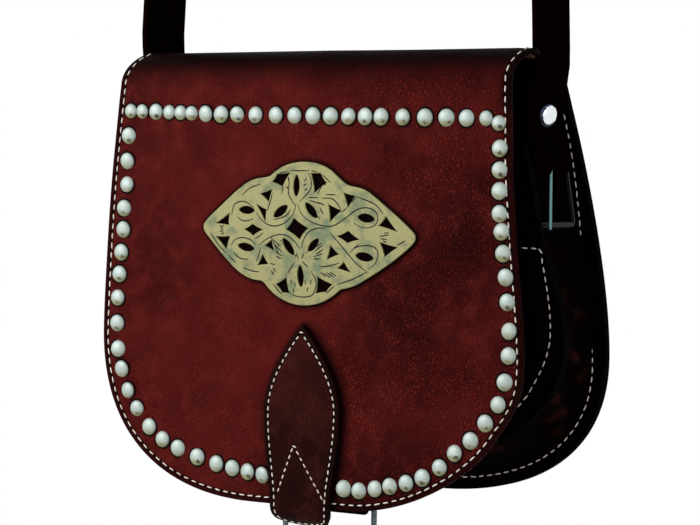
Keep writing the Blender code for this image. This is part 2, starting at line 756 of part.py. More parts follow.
def plate_holes():
    """The pierced pattern: petals, eyes, spearheads and stars, alike in all four quarters."""
    length = PLATE_HALF_LENGTH
    quarter = []
    for x, z, long, wide, turn in LENS_SHARES:
        quarter.append(lens(plate_point((x, z)), length * long, length * wide, WHOLE_TURN * turn))
    for x, z, size, turn in SPEAR_SHARES:
        quarter.append(pointed_ring(plate_point((x, z)), length * size, length * size, SPEAR_HOLLOW_SHARE, 3,
                                    WHOLE_TURN * turn))
    for x, z, wide, high, hollow in STAR_SHARES:
        quarter.append(pointed_ring(plate_point((x, z)), length * wide, length * high, hollow, 4))
    holes = []
    for hole in quarter:
        middle = sum(hole, Vector((0, 0))) / len(hole)
        for side_x in ((1, -1) if abs(middle.x) > WELD else (1,)):
            for side_z in ((1, -1) if abs(middle.y) > WELD else (1,)):
                holes.append([Vector((point.x * side_x, point.y * side_z)) for point in hole])
    return holes


def build_ornament_plate(hinge):
    """Pierced brass plate: one outline and its holes, filled and given half the thickness each way."""
    curve = bpy.data.curves.new("plate_outline", "CURVE")
    curve.dimensions = "2D"
    curve.fill_mode = "BOTH"
    curve.extrude = PLATE_THICK / 2
    for ring in [plate_outline()] + plate_holes():
        spline = curve.splines.new("POLY")
        spline.points.add(len(ring) - 1)
        for spot, point in zip(spline.points, ring):
            spot.co = (point.x, point.y, 0, 1)
        spline.use_cyclic_u = True
    flat = bpy.data.objects.new("plate_outline", curve)
    PARTS.objects.link(flat)
    filled = bpy.data.meshes.new_from_object(flat.evaluated_get(bpy.context.evaluated_depsgraph_get()))
    bm = bmesh.new()
    bm.from_mesh(filled)
    bmesh.ops.remove_doubles(bm, verts=bm.verts[:], dist=WELD)
    bmesh.ops.recalc_face_normals(bm, faces=bm.faces[:])
    centre = on_hinge(PLATE_CENTRE_X, FLAP_FACE_Y - SEAT_GAP - PLATE_THICK / 2, PLATE_CENTRE_Z)
    bmesh.ops.transform(bm, matrix=Matrix.Translation(centre) @ Matrix.Rotation(QUARTER_TURN, 4, "X"),
                        verts=bm.verts[:])
    add_object("ornament_plate", mesh_from(bm, "ornament_plate"), BRASS, hinge)
    bpy.data.objects.remove(flat, do_unlink=True)
    bpy.data.meshes.remove(filled)


def build_flap():
    """Everything that turns with the flap."""
    hinge = add_pivot("flap_hinge", world((0, HINGE_Y, TOP_Z)))
    flap = flap_sheet("flap", 0.0, 0.0, BODY_LEATHER, OXBLOOD, hinge)
    add_studs(flap, hinge)
    flap_sheet("flap_lining", LINING_INSET, BODY_LEATHER + SEAT_GAP, LINING_LEATHER, SUEDE, hinge)
    build_closure_tab(hinge)
    build_ornament_plate(hinge)


def ribbon(name, path, across, width, thickness):
    """A strap along a route, its width across the plane of the route's bends."""
    rails = [[world(point + across * side * width / 2) for point in path] for side in (-1, 1)]
    item = add_object(name, grid_on_rails(name, rails, around_bag), DARK_OXBLOOD)
    thicken(item, thickness, offset=0.0)
    return item


def loop_radius(thickness):
    """Middle of a leather's thickness from the middle of the bar that it goes round."""
    return WIRE_RADIUS + SEAT_GAP + thickness / 2


def loop_path(bar, outward, thickness, return_length):
    """A strap's route down the outer side of a bar, round it and up its inner side."""
    radius = loop_radius(thickness)
    points = []
    for step in range(LOOP_STEPS + 1):
        turn = math.pi * step / LOOP_STEPS
        points.append(bar + outward * radius * math.cos(turn) + Vector((0, 0, -radius * math.sin(turn))))
    close = (radius * 2 - thickness - SEAT_GAP) * LOOP_CLOSE_SHARE
    points.append(points[-1] + outward * close + Vector((0, 0, return_length)))
    return points


def add_slot(item, name, bar, size):
    """Opening for the prong where the leather goes round the bar."""
    cut(item, cutter_box(name, size, world(bar)))


def chape_y():
    """Middle of the thickness of the leather that hangs from the pocket."""
    return front_face_y(CHAPE_TOP_Z) - SEAT_GAP * 2 - POCKET_SWELL - POCKET_LEATHER - CHAPE_THICK / 2


def build_closure_buckle():
    """Leather that hangs from the pocket, with a buckle on its folded end."""
    bar = Vector((CLOSURE_X, chape_y() + loop_radius(CHAPE_THICK), CHAPE_BAR_Z))
    path = [Vector((CLOSURE_X, chape_y(), CHAPE_TOP_Z))]
    path += loop_path(bar, Vector((0, -1, 0)), CHAPE_THICK, CHAPE_RETURN)
    chape = ribbon("closure_chape", path, Vector((1, 0, 0)), CHAPE_WIDTH, CHAPE_THICK)
    add_slot(chape, "closure_slot", bar, (PRONG_SLOT, PRONG_SLOT_LENGTH, PRONG_SLOT_LENGTH))
    pivot = add_pivot("closure_bar", world(bar))
    build_buckle("closure_buckle", CHAPE_WIDTH / 2 + CLOSURE_PLAY, pivot)


def frame_path(half_width, height):
    """Rounded rectangle that hangs from its top bar, which lies on the pivot."""
    points = []
    for quarter, (side, drop) in enumerate(((1, 0), (1, -1), (-1, -1), (-1, 0))):
        inner_z = -BUCKLE_CORNER if drop == 0 else BUCKLE_CORNER - height
        centre = Vector((side * (half_width - BUCKLE_CORNER), 0, inner_z))
        for step in range(CORNER_STEPS + 1):
            turn = QUARTER_TURN * (1 - quarter - step / CORNER_STEPS)
            points.append(centre + Vector((math.cos(turn), 0, math.sin(turn))) * BUCKLE_CORNER)
    return points


def prong_path(height):
    """A ring round the bar and a straight shank that rests on the front of the lower bar."""
    radius = WIRE_RADIUS + SEAT_GAP + PRONG_RADIUS
    points = []
    for step in range(RING_STEPS + 1):
        turn = QUARTER_TURN * (3 * step / RING_STEPS - 1)
        points.append(Vector((0, radius * math.cos(turn), radius * math.sin(turn))))
    points.append(Vector((0, -radius, -height - WIRE_RADIUS - PRONG_OVERHANG)))
    return points


def build_buckle(prefix, inner_half_width, pivot):
    """A wire frame and its prong, both hung on the frame's top bar."""
    frame = frame_path(inner_half_width + WIRE_RADIUS, BUCKLE_HEIGHT)
    wire(prefix + "_frame", frame, WIRE_RADIUS, BLACK_STEEL, pivot, closed=True)
    wire(prefix + "_prong", prong_path(BUCKLE_HEIGHT), PRONG_RADIUS, STEEL, pivot)


def strap_arm(side):
    """The strap's middle line from the top of the bag to its crown."""
    foot = Vector((side * (STRAP_HALF_SPAN + side_out(side)), STRAP_Y, STRAP_LEAVES_BAG))
    pull = foot + Vector((-side * STRAP_LEAN_SHARE, 0, 1)) * STRAP_SIDE_PULL
    crown = Vector((0, STRAP_Y, STRAP_RISE + STRAP_THICK / 2))
    return cubic(foot, pull, crown + Vector((side * STRAP_CROWN_PULL, 0, 0)), crown, STRAP_STEPS)


def build_shoulder_strap():
    """One long strap from the left rivet over the crown to the right rivet and its buckle."""
    left, right = strap_arm(-1), strap_arm(1)
    bar = Vector((STRAP_BAR_X, STRAP_Y, STRAP_BAR_Z))
    rivet_edge = Vector((STRAP_HALF_SPAN, STRAP_Y, RIVET_Z - RIVET_CAP_RADIUS))
    splay = Vector((STRAP_BAR_X + loop_radius(STRAP_THICK), STRAP_Y, rivet_edge.z - STRAP_SPLAY_DROP))
    path = [Vector((left[0].x, STRAP_Y, STRAP_LEFT_END))] + left + right[-2::-1]
    path += [rivet_edge, splay] + loop_path(bar, Vector((1, 0, 0)), STRAP_THICK, STRAP_RETURN)
    strap = ribbon("shoulder_strap", path, Vector((0, 1, 0)), STRAP_WIDTH, STRAP_THICK)
    spot = bar + Vector((0, BUCKLE_SHIFT_Y, 0))
    add_slot(strap, "strap_slot", spot, (PRONG_SLOT_LENGTH, PRONG_SLOT, PRONG_SLOT_LENGTH))
    pivot = add_pivot("strap_bar", world(spot), (-BUCKLE_LEAN, 0, QUARTER_TURN))
    build_buckle("strap_buckle", STRAP_WIDTH / 2 + BUCKLE_PLAY, pivot)
    return strap


def turned(name, profile, material, location, turn_y, closed=False):
    """A turned piece; its profile runs down its outer side."""
    bm = bmesh.new()
    spots = [bm.verts.new((radius, 0, height)) for radius, height in profile]
    for before, after in zip(spots, spots[1:] + spots[:1] if closed else spots[1:]):
        bm.edges.new((before, after))
    item = add_object(name, mesh_from(bm, name), material, location=location)
    add_modifier(item, "SCREW", axis="Z", angle=WHOLE_TURN, screw_offset=0, steps=ROUND_SIDES,
                 render_steps=ROUND_SIDES, use_merge_vertices=True, merge_threshold=WELD,
                 use_smooth_shade=True)
    item.rotation_euler.y = turn_y


def build_rivets(strap, gusset):
    """A capped rivet at each side, through the strap and the gusset into a burr inside."""
    cap_x = STRAP_HALF_SPAN + STRAP_THICK / 2 + SEAT_GAP
    burr_x = strap_seat_x() - GUSSET_LEATHER - SEAT_GAP
    post = cap_x - burr_x + BURR_THICK + SEAT_GAP * 2
    dome_height = RIVET_CAP_HEIGHT - RIVET_CAP_RIM
    turns = [QUARTER_TURN * step / DOME_STEPS for step in range(DOME_STEPS + 1)]
    profile = [(RIVET_CAP_RADIUS * math.sin(turn), RIVET_CAP_RIM + dome_height * math.cos(turn)) for turn in turns]
    profile += [(RIVET_CAP_RADIUS, 0), (RIVET_POST_RADIUS, 0), (RIVET_POST_RADIUS, -post), (0, -post)]
    bore = RIVET_POST_RADIUS + SEAT_GAP
    burr = [(bore, BURR_THICK), (BURR_RADIUS, BURR_THICK), (BURR_RADIUS, 0), (bore, 0)]
    for side, label in ((-1, "left"), (1, "right")):
        turn = QUARTER_TURN * side
        out = side_out(side)
        turned("rivet_" + label, profile, NICKEL, world((side * (cap_x + out), STRAP_Y, RIVET_Z)), turn)
        turned("rivet_burr_" + label, burr, STEEL,
               world((side * (burr_x + out - BURR_THICK), STRAP_Y, RIVET_Z)), turn, closed=True)
        hole = cutter_pin("rivet_hole_" + label, bore, (cap_x - burr_x) * 2 + CUT_OVERRUN,
                          world((side * (cap_x + out), STRAP_Y, RIVET_Z)))
        cut(strap, hole)
        cut(gusset, hole)


STRAP_HALF_SPAN = strap_half_span()
STRAP_BAR_X = STRAP_HALF_SPAN + STRAP_BAR_OUT


def main():
    build_back_panel()
    build_front_panel()
    build_front_pocket()
    build_closure_buckle()
    build_flap()
    build_rivets(build_shoulder_strap(), build_gusset())


if __name__ == "__main__":
    main()
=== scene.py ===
"""Looks of the leather shoulder bag: grained leather, stitching, studs and pierced brass on the CAD frame.

All sizes are in metres in the row's frame, whose origin is the point under the top of the strap.
Bag sizes are written around the middle of the bag, and placed by HANG below that origin.
"""
import logging
import math
from dataclasses import dataclass, field
from enum import Enum
from typing import Callable, Optional, Sequence, Union

import bmesh
import bpy
import numpy as np
from mathutils import Matrix, Vector

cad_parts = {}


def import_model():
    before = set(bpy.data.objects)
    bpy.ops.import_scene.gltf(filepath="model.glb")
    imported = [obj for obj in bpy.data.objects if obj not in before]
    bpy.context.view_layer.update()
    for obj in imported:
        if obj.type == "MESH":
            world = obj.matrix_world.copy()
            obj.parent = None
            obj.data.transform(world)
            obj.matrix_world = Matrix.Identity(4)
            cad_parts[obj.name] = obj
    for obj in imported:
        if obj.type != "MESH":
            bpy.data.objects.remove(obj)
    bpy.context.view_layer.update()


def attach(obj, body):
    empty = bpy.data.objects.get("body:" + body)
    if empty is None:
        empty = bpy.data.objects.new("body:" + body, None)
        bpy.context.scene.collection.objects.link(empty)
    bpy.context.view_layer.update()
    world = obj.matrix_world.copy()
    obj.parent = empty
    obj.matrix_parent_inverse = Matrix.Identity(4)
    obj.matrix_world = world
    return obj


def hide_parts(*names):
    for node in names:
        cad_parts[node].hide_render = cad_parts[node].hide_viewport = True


LOG = logging.getLogger("leather_bag")
MM = 0.001
HANG = 0.6
SEED = 7

Array = np.ndarray


class Body(str, Enum):
    """The CAD bodies that pieces ride on."""

    BAG = "bag"
    FLAP = "flap"
    CLOSURE_FRAME = "closure_frame"
    CLOSURE_PRONG = "closure_prong"
    STRAP_FRAME = "strap_frame"
    STRAP_PRONG = "strap_prong"


class Slot(str, Enum):
    """The record's material slots."""

    OXBLOOD = "oxblood_leather"
    DARK = "dark_oxblood_leather"
    SUEDE = "suede_side_of_leather"
    BRASS = "brass"
    NICKEL = "nickel"
    STEEL = "steel"
    BLACK_STEEL = "blackened_steel"


class Wire:
    """A number in a node tree; arithmetic on it adds Math nodes."""

    def __init__(self, bench: "NodeBench", socket: bpy.types.NodeSocket) -> None:
        """Wrap an output socket of the bench's tree."""
        self.bench = bench
        self.socket = socket

    def _math(self, operation: str, first: "Value", second: "Value") -> "Wire":
        """One Math node on two values."""
        return self.bench.node("ShaderNodeMath", {"operation": operation}, {0: first, 1: second})

    def __add__(self, other: "Value") -> "Wire":
        """Sum."""
        return self._math("ADD", self, other)

    __radd__ = __add__

    def __mul__(self, other: "Value") -> "Wire":
        """Product."""
        return self._math("MULTIPLY", self, other)

    __rmul__ = __mul__

    def __sub__(self, other: "Value") -> "Wire":
        """Difference."""
        return self._math("SUBTRACT", self, other)

    def __rsub__(self, other: "Value") -> "Wire":
        """Difference, the other way round."""
        return self._math("SUBTRACT", other, self)

    def ease(self, low: float, high: float) -> "Wire":
        """Run smoothly from 0 at low to 1 at high; high may be the smaller.

        Args:
            low: where the result is 0.
            high: where it is 1.

        Returns:
            The eased number, clamped.
        """
        start, end, flip = (low, high, False) if low < high else (high, low, True)
        eased = self.bench.node("ShaderNodeMapRange", {"interpolation_type": "SMOOTHSTEP"},
                                {"Value": self, "From Min": start, "From Max": end})
        return 1.0 - eased if flip else eased


Value = Union[Wire, float]
Colour = tuple[float, float, float]


class NodeBench:
    """The node tree of one material or world, with its shader."""

    def __init__(self, owner: Union[bpy.types.Material, bpy.types.World]) -> None:
        """Start from the shader and the output that a new tree holds."""
        owner.use_nodes = True
        self.owner = owner
        self.tree = owner.node_tree
        self.shader = self.tree.nodes.get("Principled BSDF") or self.tree.nodes.get("Background")

    @classmethod
    def for_material(cls, name: str) -> "NodeBench":
        """A bench for a new material."""
        return cls(bpy.data.materials.new(name))

    def node(self, kind: str, settings: Optional[dict] = None, inputs: Optional[dict] = None,
             output: Union[int, str] = 0) -> Wire:
        """Add a node.

        Args:
            kind: the node's type.
            settings: its properties.
            inputs: values or wires by socket name or number.
            output: the socket to hand back.

        Returns:
            The chosen output, wrapped.
        """
        made = self.tree.nodes.new(kind)
        for key, value in (settings or {}).items():
            setattr(made, key, value)
        for key, value in (inputs or {}).items():
            self.feed(made.inputs[key], value)
        return Wire(self, made.outputs[output])

    def feed(self, socket: bpy.types.NodeSocket, value: object) -> None:
        """Link a wire to a socket, or set the socket's value."""
        if isinstance(value, Wire):
            self.tree.links.new(value.socket, socket)
        elif isinstance(value, tuple) and len(value) == 3 and socket.type == "RGBA":
            socket.default_value = (*value, 1.0)
        else:
            socket.default_value = value

    def shade(self, **inputs: object) -> None:
        """Set the shader's sockets; underscores in names stand for spaces."""
        for key, value in inputs.items():
            self.feed(self.shader.inputs[key.replace("_", " ")], value)

    def place(self) -> Wire:
        """The piece's own coordinates, in metres."""
        return self.node("ShaderNodeTexCoord", output="Object")

    def axis(self, place: Wire, letter: str) -> Wire:
        """One of a place's three numbers."""
        return self.node("ShaderNodeSeparateXYZ", {}, {0: place}, letter)

    def stretch(self, place: Wire, scale: tuple[float, float, float]) -> Wire:
        """Scale coordinates, so that a pattern is drawn out along one way."""
        return self.node("ShaderNodeVectorMath", {"operation": "MULTIPLY"}, {0: place, 1: scale})

    def noise(self, place: Wire, per_metre: float, detail: float = 3.0, rough: float = 0.55) -> Wire:
        """Cloudy noise of about so many clouds to the metre."""
        return self.node("ShaderNodeTexNoise", {}, {"Vector": place, "Scale": per_metre, "Detail": detail,
                                                    "Roughness": rough}, "Fac")

    def cells(self, place: Wire, per_metre: float) -> Wire:
        """Distance to the nearest border between cells, 0 in the creases."""
        return self.node("ShaderNodeTexVoronoi", {"feature": "DISTANCE_TO_EDGE"},
                         {"Vector": place, "Scale": per_metre}, "Distance")

    def attribute(self, name: str) -> Wire:
        """A number stored on the mesh."""
        return self.node("ShaderNodeAttribute", {"attribute_name": name}, {}, "Fac")

    def mix(self, share: Value, first: Union[Wire, Colour], second: Union[Wire, Colour]) -> Wire:
        """Blend two colours."""
        return self.node("ShaderNodeMix", {"data_type": "RGBA"}, {0: share, 6: first, 7: second}, 2)

    def warp(self, place: Wire, per_metre: float, reach: float) -> Wire:
        """Push coordinates about by coloured noise.

        Args:
            place: the coordinates.
            per_metre: how fine the noise is.
            reach: how far it pushes, in metres.

        Returns:
            The pushed coordinates.
        """
        push = self.node("ShaderNodeTexNoise", {}, {"Vector": place, "Scale": per_metre}, "Color")
        scaled = self.node("ShaderNodeVectorMath", {"operation": "SCALE"}, {0: push, "Scale": reach})
        return self.node("ShaderNodeVectorMath", {"operation": "ADD"}, {0: place, 1: scaled})

    def bump(self, height: Wire, distance: float, strength: float = 1.0) -> Wire:
        """Relief that feeds the shader's normal."""
        return self.node("ShaderNodeBump", {}, {"Height": height, "Distance": distance, "Strength": strength},
                         "Normal")

    def background_rays(self) -> Wire:
        """1 for rays that meet the background straight, in a reflection or through something, else 0."""
        kinds = [self.node("ShaderNodeLightPath", output=f"Is {kind} Ray") for kind in
                 ("Camera", "Glossy", "Transmission")]
        return (kinds[0] + kinds[1] + kinds[2]).ease(0.0, 1.0)


# Near black: the dark of grain creases and stitch grooves, and also painted shade on the leather and a painted dark
# reflection on the studs.
INK_AND_PAINTED_SHADE: Colour = (0.0028, 0.0008, 0.001)


@dataclass(frozen=True)
class LeatherFinish:
    """Waxed, pebbled leather, mottled in its dye and darker towards its cut edges.

    The mesh's attribute rim is the distance from the cut edge in metres. Where the painted shade flag is set, a stored
    mask blackens the leather with painted shade, and where the crease sheen flag is set, the attribute fold paints a
    highlight on the crease ridges.
    """

    name: str
    deep: Colour
    mid: Colour
    bright: Colour
    edge: Colour
    roughness: float = 0.42
    shine: float = 0.004
    grain_per_metre: float = 620.0
    relief: float = 0.0004
    groove_at: float = 0.004
    groove_share: float = 0.85
    edge_reach: float = 0.006
    wrinkles: float = 0.5
    blotches: float = 0.7
    # Whether a stored mask paints shade on the leather, and whether the attribute fold paints a sheen on crease ridges.
    shows_painted_shade: bool = False
    shows_painted_crease_sheen: bool = False
    warp_per_metre: float = 60.0
    warp_reach: float = 0.009
    clouds_per_metre: float = 13.0
    blotches_per_metre: float = 85.0
    flecks_per_metre: float = 900.0
    patches_per_metre: float = 24.0

    def make(self) -> bpy.types.Material:
        """Build the material."""
        bench = NodeBench.for_material(self.name)
        place = bench.place()
        warped = bench.warp(place, self.warp_per_metre, self.warp_reach)
        cloud = bench.noise(place, self.clouds_per_metre, 5.0, 0.62)
        blotch = bench.noise(warped, self.blotches_per_metre, 4.0, 0.6)
        fleck = bench.noise(place, self.flecks_per_metre, 2.0)
        pebble = bench.cells(bench.stretch(warped, (1.1, 1.0, 0.85)), self.grain_per_metre).ease(0.0, 0.34)
        fine = bench.cells(place, self.grain_per_metre * 2.6).ease(0.0, 0.3)
        right = bench.axis(place, "X").ease(-0.08, 0.11)
        low = bench.axis(place, "Z").ease(-0.53, -0.7)
        worked = bench.noise(place, self.patches_per_metre, 2.0).ease(0.3, 0.62) * (0.25 + right * 0.4)
        worked = worked + right * 0.3 + low * 0.22 + 0.2
        crease = (1.0 - pebble) * worked
        rim = bench.attribute("rim")
        worn = rim.ease(self.edge_reach, self.edge_reach * 0.35)
        groove = (rim - self.groove_at) * 1400.0
        groove = 1.0 - (groove * groove).ease(0.0, 1.6)
        tone = bench.mix(cloud.ease(0.32, 0.66), self.deep, self.mid)
        tone = bench.mix(blotch.ease(0.42, 0.78) * self.blotches, tone, self.bright)
        tone = bench.mix(crease * self.wrinkles, tone, INK_AND_PAINTED_SHADE)
        # Painted highlight on the ridges of the creases, from the attribute fold.
        if self.shows_painted_crease_sheen:
            tone = bench.mix(bench.attribute("fold") * (0.5 + blotch), tone, self.bright)
        tone = bench.mix(worn * (0.55 + blotch * 0.5), tone, self.edge)
        tone = bench.mix(groove * self.groove_share, tone, INK_AND_PAINTED_SHADE)
        # Painted shade: near black where the stored mask says.
        if self.shows_painted_shade:
            tone = bench.mix(bench.attribute("dirt_and_painted_shade"), tone, INK_AND_PAINTED_SHADE)
        gloss = self.roughness + (blotch - 0.5) * 0.16 + crease * 0.2 + (cloud - 0.5) * 0.1
        height = pebble * worked * 0.95 + fine * 0.18 + fleck * 0.14 + blotch * 1.1 - groove * 1.3
        bench.shade(Base_Color=tone, Roughness=gloss, Normal=bench.bump(height, self.relief, 0.9),
                    Specular_IOR_Level=self.shine)
        return bench.owner


@dataclass(frozen=True)
class FleshFinish:
    """The napped inner side of leather, and its cut edges."""

    name: str
    light: Colour
    dark: Colour
    nap_per_metre: float = 1500.0

    def make(self) -> bpy.types.Material:
        """Build the material."""
        bench = NodeBench.for_material(self.name)
        place = bench.place()
        nap = bench.noise(place, self.nap_per_metre, 4.0, 0.7)
        patch = bench.noise(place, 60.0, 4.0)
        tone = bench.mix(nap.ease(0.3, 0.7) * 0.6 + patch * 0.35, self.dark, self.light)
        bench.shade(Base_Color=tone, Roughness=0.86 + nap * 0.12, Normal=bench.bump(nap + patch * 0.8, 0.0004),
                    Specular_IOR_Level=0.05)
        return bench.owner


@dataclass(frozen=True)
class ThreadFinish:
    """Waxed thread, twisted from strands."""

    name: str
    light: Colour
    dark: Colour

    def make(self) -> bpy.types.Material:
        """Build the material."""
        bench = NodeBench.for_material(self.name)
        place = bench.place()
        strand = bench.noise(place, 2600.0, 2.0)
        dirt_and_painted_shade = bench.noise(place, 45.0, 3.0)
        tone = bench.mix(strand.ease(0.3, 0.65) * 0.6 + dirt_and_painted_shade.ease(0.35, 0.7) * 0.4, self.dark, self.light)
        bench.shade(Base_Color=tone, Roughness=0.6 + strand * 0.2, Normal=bench.bump(strand, 0.0002))
        return bench.owner


@dataclass(frozen=True)
class MetalFinish:
    """Metal with tarnish in its hollows and fine scratches.

    Domed metal gets a painted dark reflection over its lower part and a painted dark spot of reflection there, by the
    attributes across and up.
    """

    name: str
    clean: Colour
    tarnish: Colour
    roughness: float = 0.3
    tarnish_share: float = 0.5
    metallic: float = 1.0
    scratch_relief: float = 0.00006
    domed: bool = False

    def make(self) -> bpy.types.Material:
        """Build the material."""
        bench = NodeBench.for_material(self.name)
        place = bench.place()
        cloud = bench.noise(place, 120.0, 4.0, 0.6)
        speck = bench.noise(place, 1300.0, 3.0, 0.65)
        scratch = bench.noise(bench.stretch(place, (1.0, 1.0, 7.0)), 900.0, 2.0)
        tarnish_and_painted_reflection = cloud.ease(0.42, 0.72) * self.tarnish_share + speck.ease(0.55, 0.75) * self.tarnish_share * 0.6
        spot: Value = 0.0
        if self.domed:
            across, up, lot = (bench.attribute(name) for name in ("across", "up", "lot"))
            # Painted dark reflection over the lower half of each dome, mixed with the tarnish colour.
            tarnish_and_painted_reflection = tarnish_and_painted_reflection + up.ease(0.0, -0.75) * (0.55 + lot * 0.5)
            # A painted dark spot of reflection, near black, low on most domes.
            off_across, off_up = across + 0.3 - lot * 0.75, up + 0.68 - lot * 0.2
            reach = off_across * off_across + off_up * off_up * 1.6 + (speck - 0.45) * 0.5 + (cloud - 0.5) * 0.3
            spot = reach.ease(0.13, 0.03) * lot.ease(0.15, 0.7) * 0.9
        tarnish_and_painted_reflection = tarnish_and_painted_reflection.ease(0.0, 1.0)
        tone = bench.mix(spot, bench.mix(tarnish_and_painted_reflection, self.clean, self.tarnish), INK_AND_PAINTED_SHADE)
        bench.shade(Base_Color=tone, Metallic=self.metallic - tarnish_and_painted_reflection * 0.35, Roughness=self.roughness + tarnish_and_painted_reflection * 0.3,
                    Normal=bench.bump(speck * 0.5 + scratch * 0.6 + cloud * 0.8, self.scratch_relief))
        return bench.owner


@dataclass(frozen=True)
class Palette:
    """Every finish of the bag, each made once."""

    # The flap leather is blackened by its stored mask of painted shade.
    flap: LeatherFinish = LeatherFinish("flap_leather", (0.042, 0.0042, 0.0038), (0.092, 0.0086, 0.0068),
                                        (0.13, 0.0142, 0.0105), (0.006, 0.0011, 0.0012), shine=0.008, shows_painted_shade=True,
                                        grain_per_metre=540.0, wrinkles=0.58, groove_at=0.003, edge_reach=0.005)
    # The body leather's near-black colours are partly its own dark colour and partly painted shade of the sides and the
    # back; its bright colour also paints the sheen on crease ridges.
    body: LeatherFinish = LeatherFinish("body_leather", (0.001, 0.0004, 0.0005), (0.0022, 0.0006, 0.0007),
                                        (0.024, 0.0065, 0.006), (0.001, 0.0004, 0.0005), roughness=0.5,
                                        shine=0.003, shows_painted_crease_sheen=True, blotches=0.06)
    tab: LeatherFinish = LeatherFinish("tab_leather", (0.014, 0.0024, 0.002), (0.038, 0.0062, 0.0048),
                                       (0.065, 0.0125, 0.0095), (0.005, 0.0013, 0.0013), shine=0.015,
                                       groove_at=0.0027, edge_reach=0.004)
    strap: LeatherFinish = LeatherFinish("strap_leather", (0.0012, 0.0003, 0.0004), (0.003, 0.0005, 0.0006),
                                         (0.007, 0.0012, 0.0013), (0.004, 0.0009, 0.0009), shine=0.0,
                                         edge_reach=0.003, groove_at=-0.01)
    flesh: FleshFinish = FleshFinish("flesh_side", (0.12, 0.052, 0.036), (0.045, 0.016, 0.012))
    cut_edge: FleshFinish = FleshFinish("cut_edge", (0.055, 0.018, 0.012), (0.01, 0.0032, 0.0026), 900.0)
    strap_edge: FleshFinish = FleshFinish("strap_edge", (0.13, 0.03, 0.022), (0.04, 0.01, 0.008), 900.0)
    # Near-black discs under the studs, a painted contact shadow.
    ring: FleshFinish = FleshFinish("stud_painted_shadow", (0.004, 0.0012, 0.0013), (0.0018, 0.0006, 0.0007))
    thread: ThreadFinish = ThreadFinish("cream_thread", (0.86, 0.8, 0.71), (0.5, 0.43, 0.35))
    # The studs' tarnish colour also paints the dark reflection on their lower halves.
    stud: MetalFinish = MetalFinish("stud_nickel", (0.34, 0.4, 0.37), (0.22, 0.22, 0.11), 0.5, 0.25, 0.3, domed=True)
    cap: MetalFinish = MetalFinish("rivet_cap", (0.88, 0.92, 0.95), (0.35, 0.38, 0.42), 0.2, 0.2, 0.8,
                                   scratch_relief=0.000008)
    cap_rim: MetalFinish = MetalFinish("rivet_rim", (0.03, 0.036, 0.07), (0.012, 0.013, 0.025), 0.35, 0.4, 0.8)
    brass: MetalFinish = MetalFinish("plate_brass", (0.21, 0.195, 0.07), (0.12, 0.165, 0.085), 0.5, 0.8, 0.3,
                                     scratch_relief=0.00012)
    brass_ink: MetalFinish = MetalFinish("engraved_brass", (0.003, 0.0028, 0.002), (0.002, 0.002, 0.0015), 0.9, 0.8,
                                         0.0)
    steel: MetalFinish = MetalFinish("dim_steel", (0.1, 0.2, 0.215), (0.05, 0.09, 0.1), 0.35, 0.4)
    # Near black and not metallic: partly the strap buckle frame's own dark finish and partly painted shade and dark
    # reflection of the frame.
    black_steel_and_painted_shade: MetalFinish = MetalFinish("black_steel_and_painted_shade", (0.0035, 0.004, 0.0045), (0.002, 0.002, 0.0022), 0.5, 0.0)
    grey_steel: MetalFinish = MetalFinish("grey_steel", (0.09, 0.12, 0.125), (0.03, 0.035, 0.037), 0.34, 0.5)


class Finishes:
    """Makes each material of the palette when it is first asked for."""

    def __init__(self, palette: Palette) -> None:
        """Keep the palette; nothing is made yet."""
        self.palette = palette
        self.made: dict[str, bpy.types.Material] = {}

    def get(self, name: str) -> bpy.types.Material:
        """The material of one of the palette's finishes."""
        if name not in self.made:
            self.made[name] = getattr(self.palette, name).make()
        return self.made[name]


def ease(value: Array) -> Array:
    """Smooth step from 0 to 1."""
    share = np.clip(value, 0.0, 1.0)
    return share * share * (3.0 - 2.0 * share)


def bezier(start: Sequence[float], pull_start: Sequence[float], pull_end: Sequence[float],
           end: Sequence[float], steps: int) -> Array:
    """Points of a cubic curve, both ends included.

    Args:
        start: the first point.
        pull_start: the control point next to the start.
        pull_end: the control point next to the end.
        end: the last point.
        steps: how many pieces the curve has.

    Returns:
        The points as rows.
    """
    t = np.linspace(0.0, 1.0, steps + 1)[:, None]
    a, b, c, d = (np.array(point, float) for point in (start, pull_start, pull_end, end))
    return a * (1 - t) ** 3 + b * 3 * t * (1 - t) ** 2 + c * 3 * t * t * (1 - t) + d * t ** 3


def pulled(start: Sequence[float], end: Sequence[float], shares: Sequence[Sequence[float]], steps: int) -> Array:
    """A cubic curve whose pulls are given as shares of the way from start to end.

    Args:
        start: the first point.
        end: the last point.
        shares: a share for each axis of each pull.
        steps: how many pieces the curve has.

    Returns:
        The points as rows.
    """
    begin, finish = np.array(start, float), np.array(end, float)
    pulls = [begin + (finish - begin) * np.array(share) for share in shares]
    return bezier(begin, pulls[0], pulls[1], finish, steps)


def blend(first: Array, second: Array, share: Array) -> Array:
    """Numbers or points a share of the way from the first to the second."""
    return first + (second - first) * share


def inset(points: Array, distance: float) -> Array:
    """Move a half outline, which runs downwards on the right, towards the panel's middle.

    Args:
        points: the half outline.
        distance: how far inwards.

    Returns:
        The moved outline.
    """
    if not distance:
        return points
    ahead = np.vstack([points[1:], points[-1:]])
    behind = np.vstack([points[:1], points[:-1]])
    run = ahead - behind
    run /= np.linalg.norm(run, axis=1)[:, None]
    return points + np.column_stack([run[:, 1], -run[:, 0]]) * distance


def run_lengths(points: Array) -> Array:
    """How far along a path each of its points lies."""
    return np.concatenate([[0.0], np.cumsum(np.linalg.norm(np.diff(points, axis=0), axis=1))])


def picked(rows: Array, lengths: Array, at: Array) -> Array:
    """Rows at given lengths along a path, between the rows that lie at the path's own lengths."""
    return np.column_stack([np.interp(at, lengths, rows[:, axis]) for axis in range(rows.shape[1])])


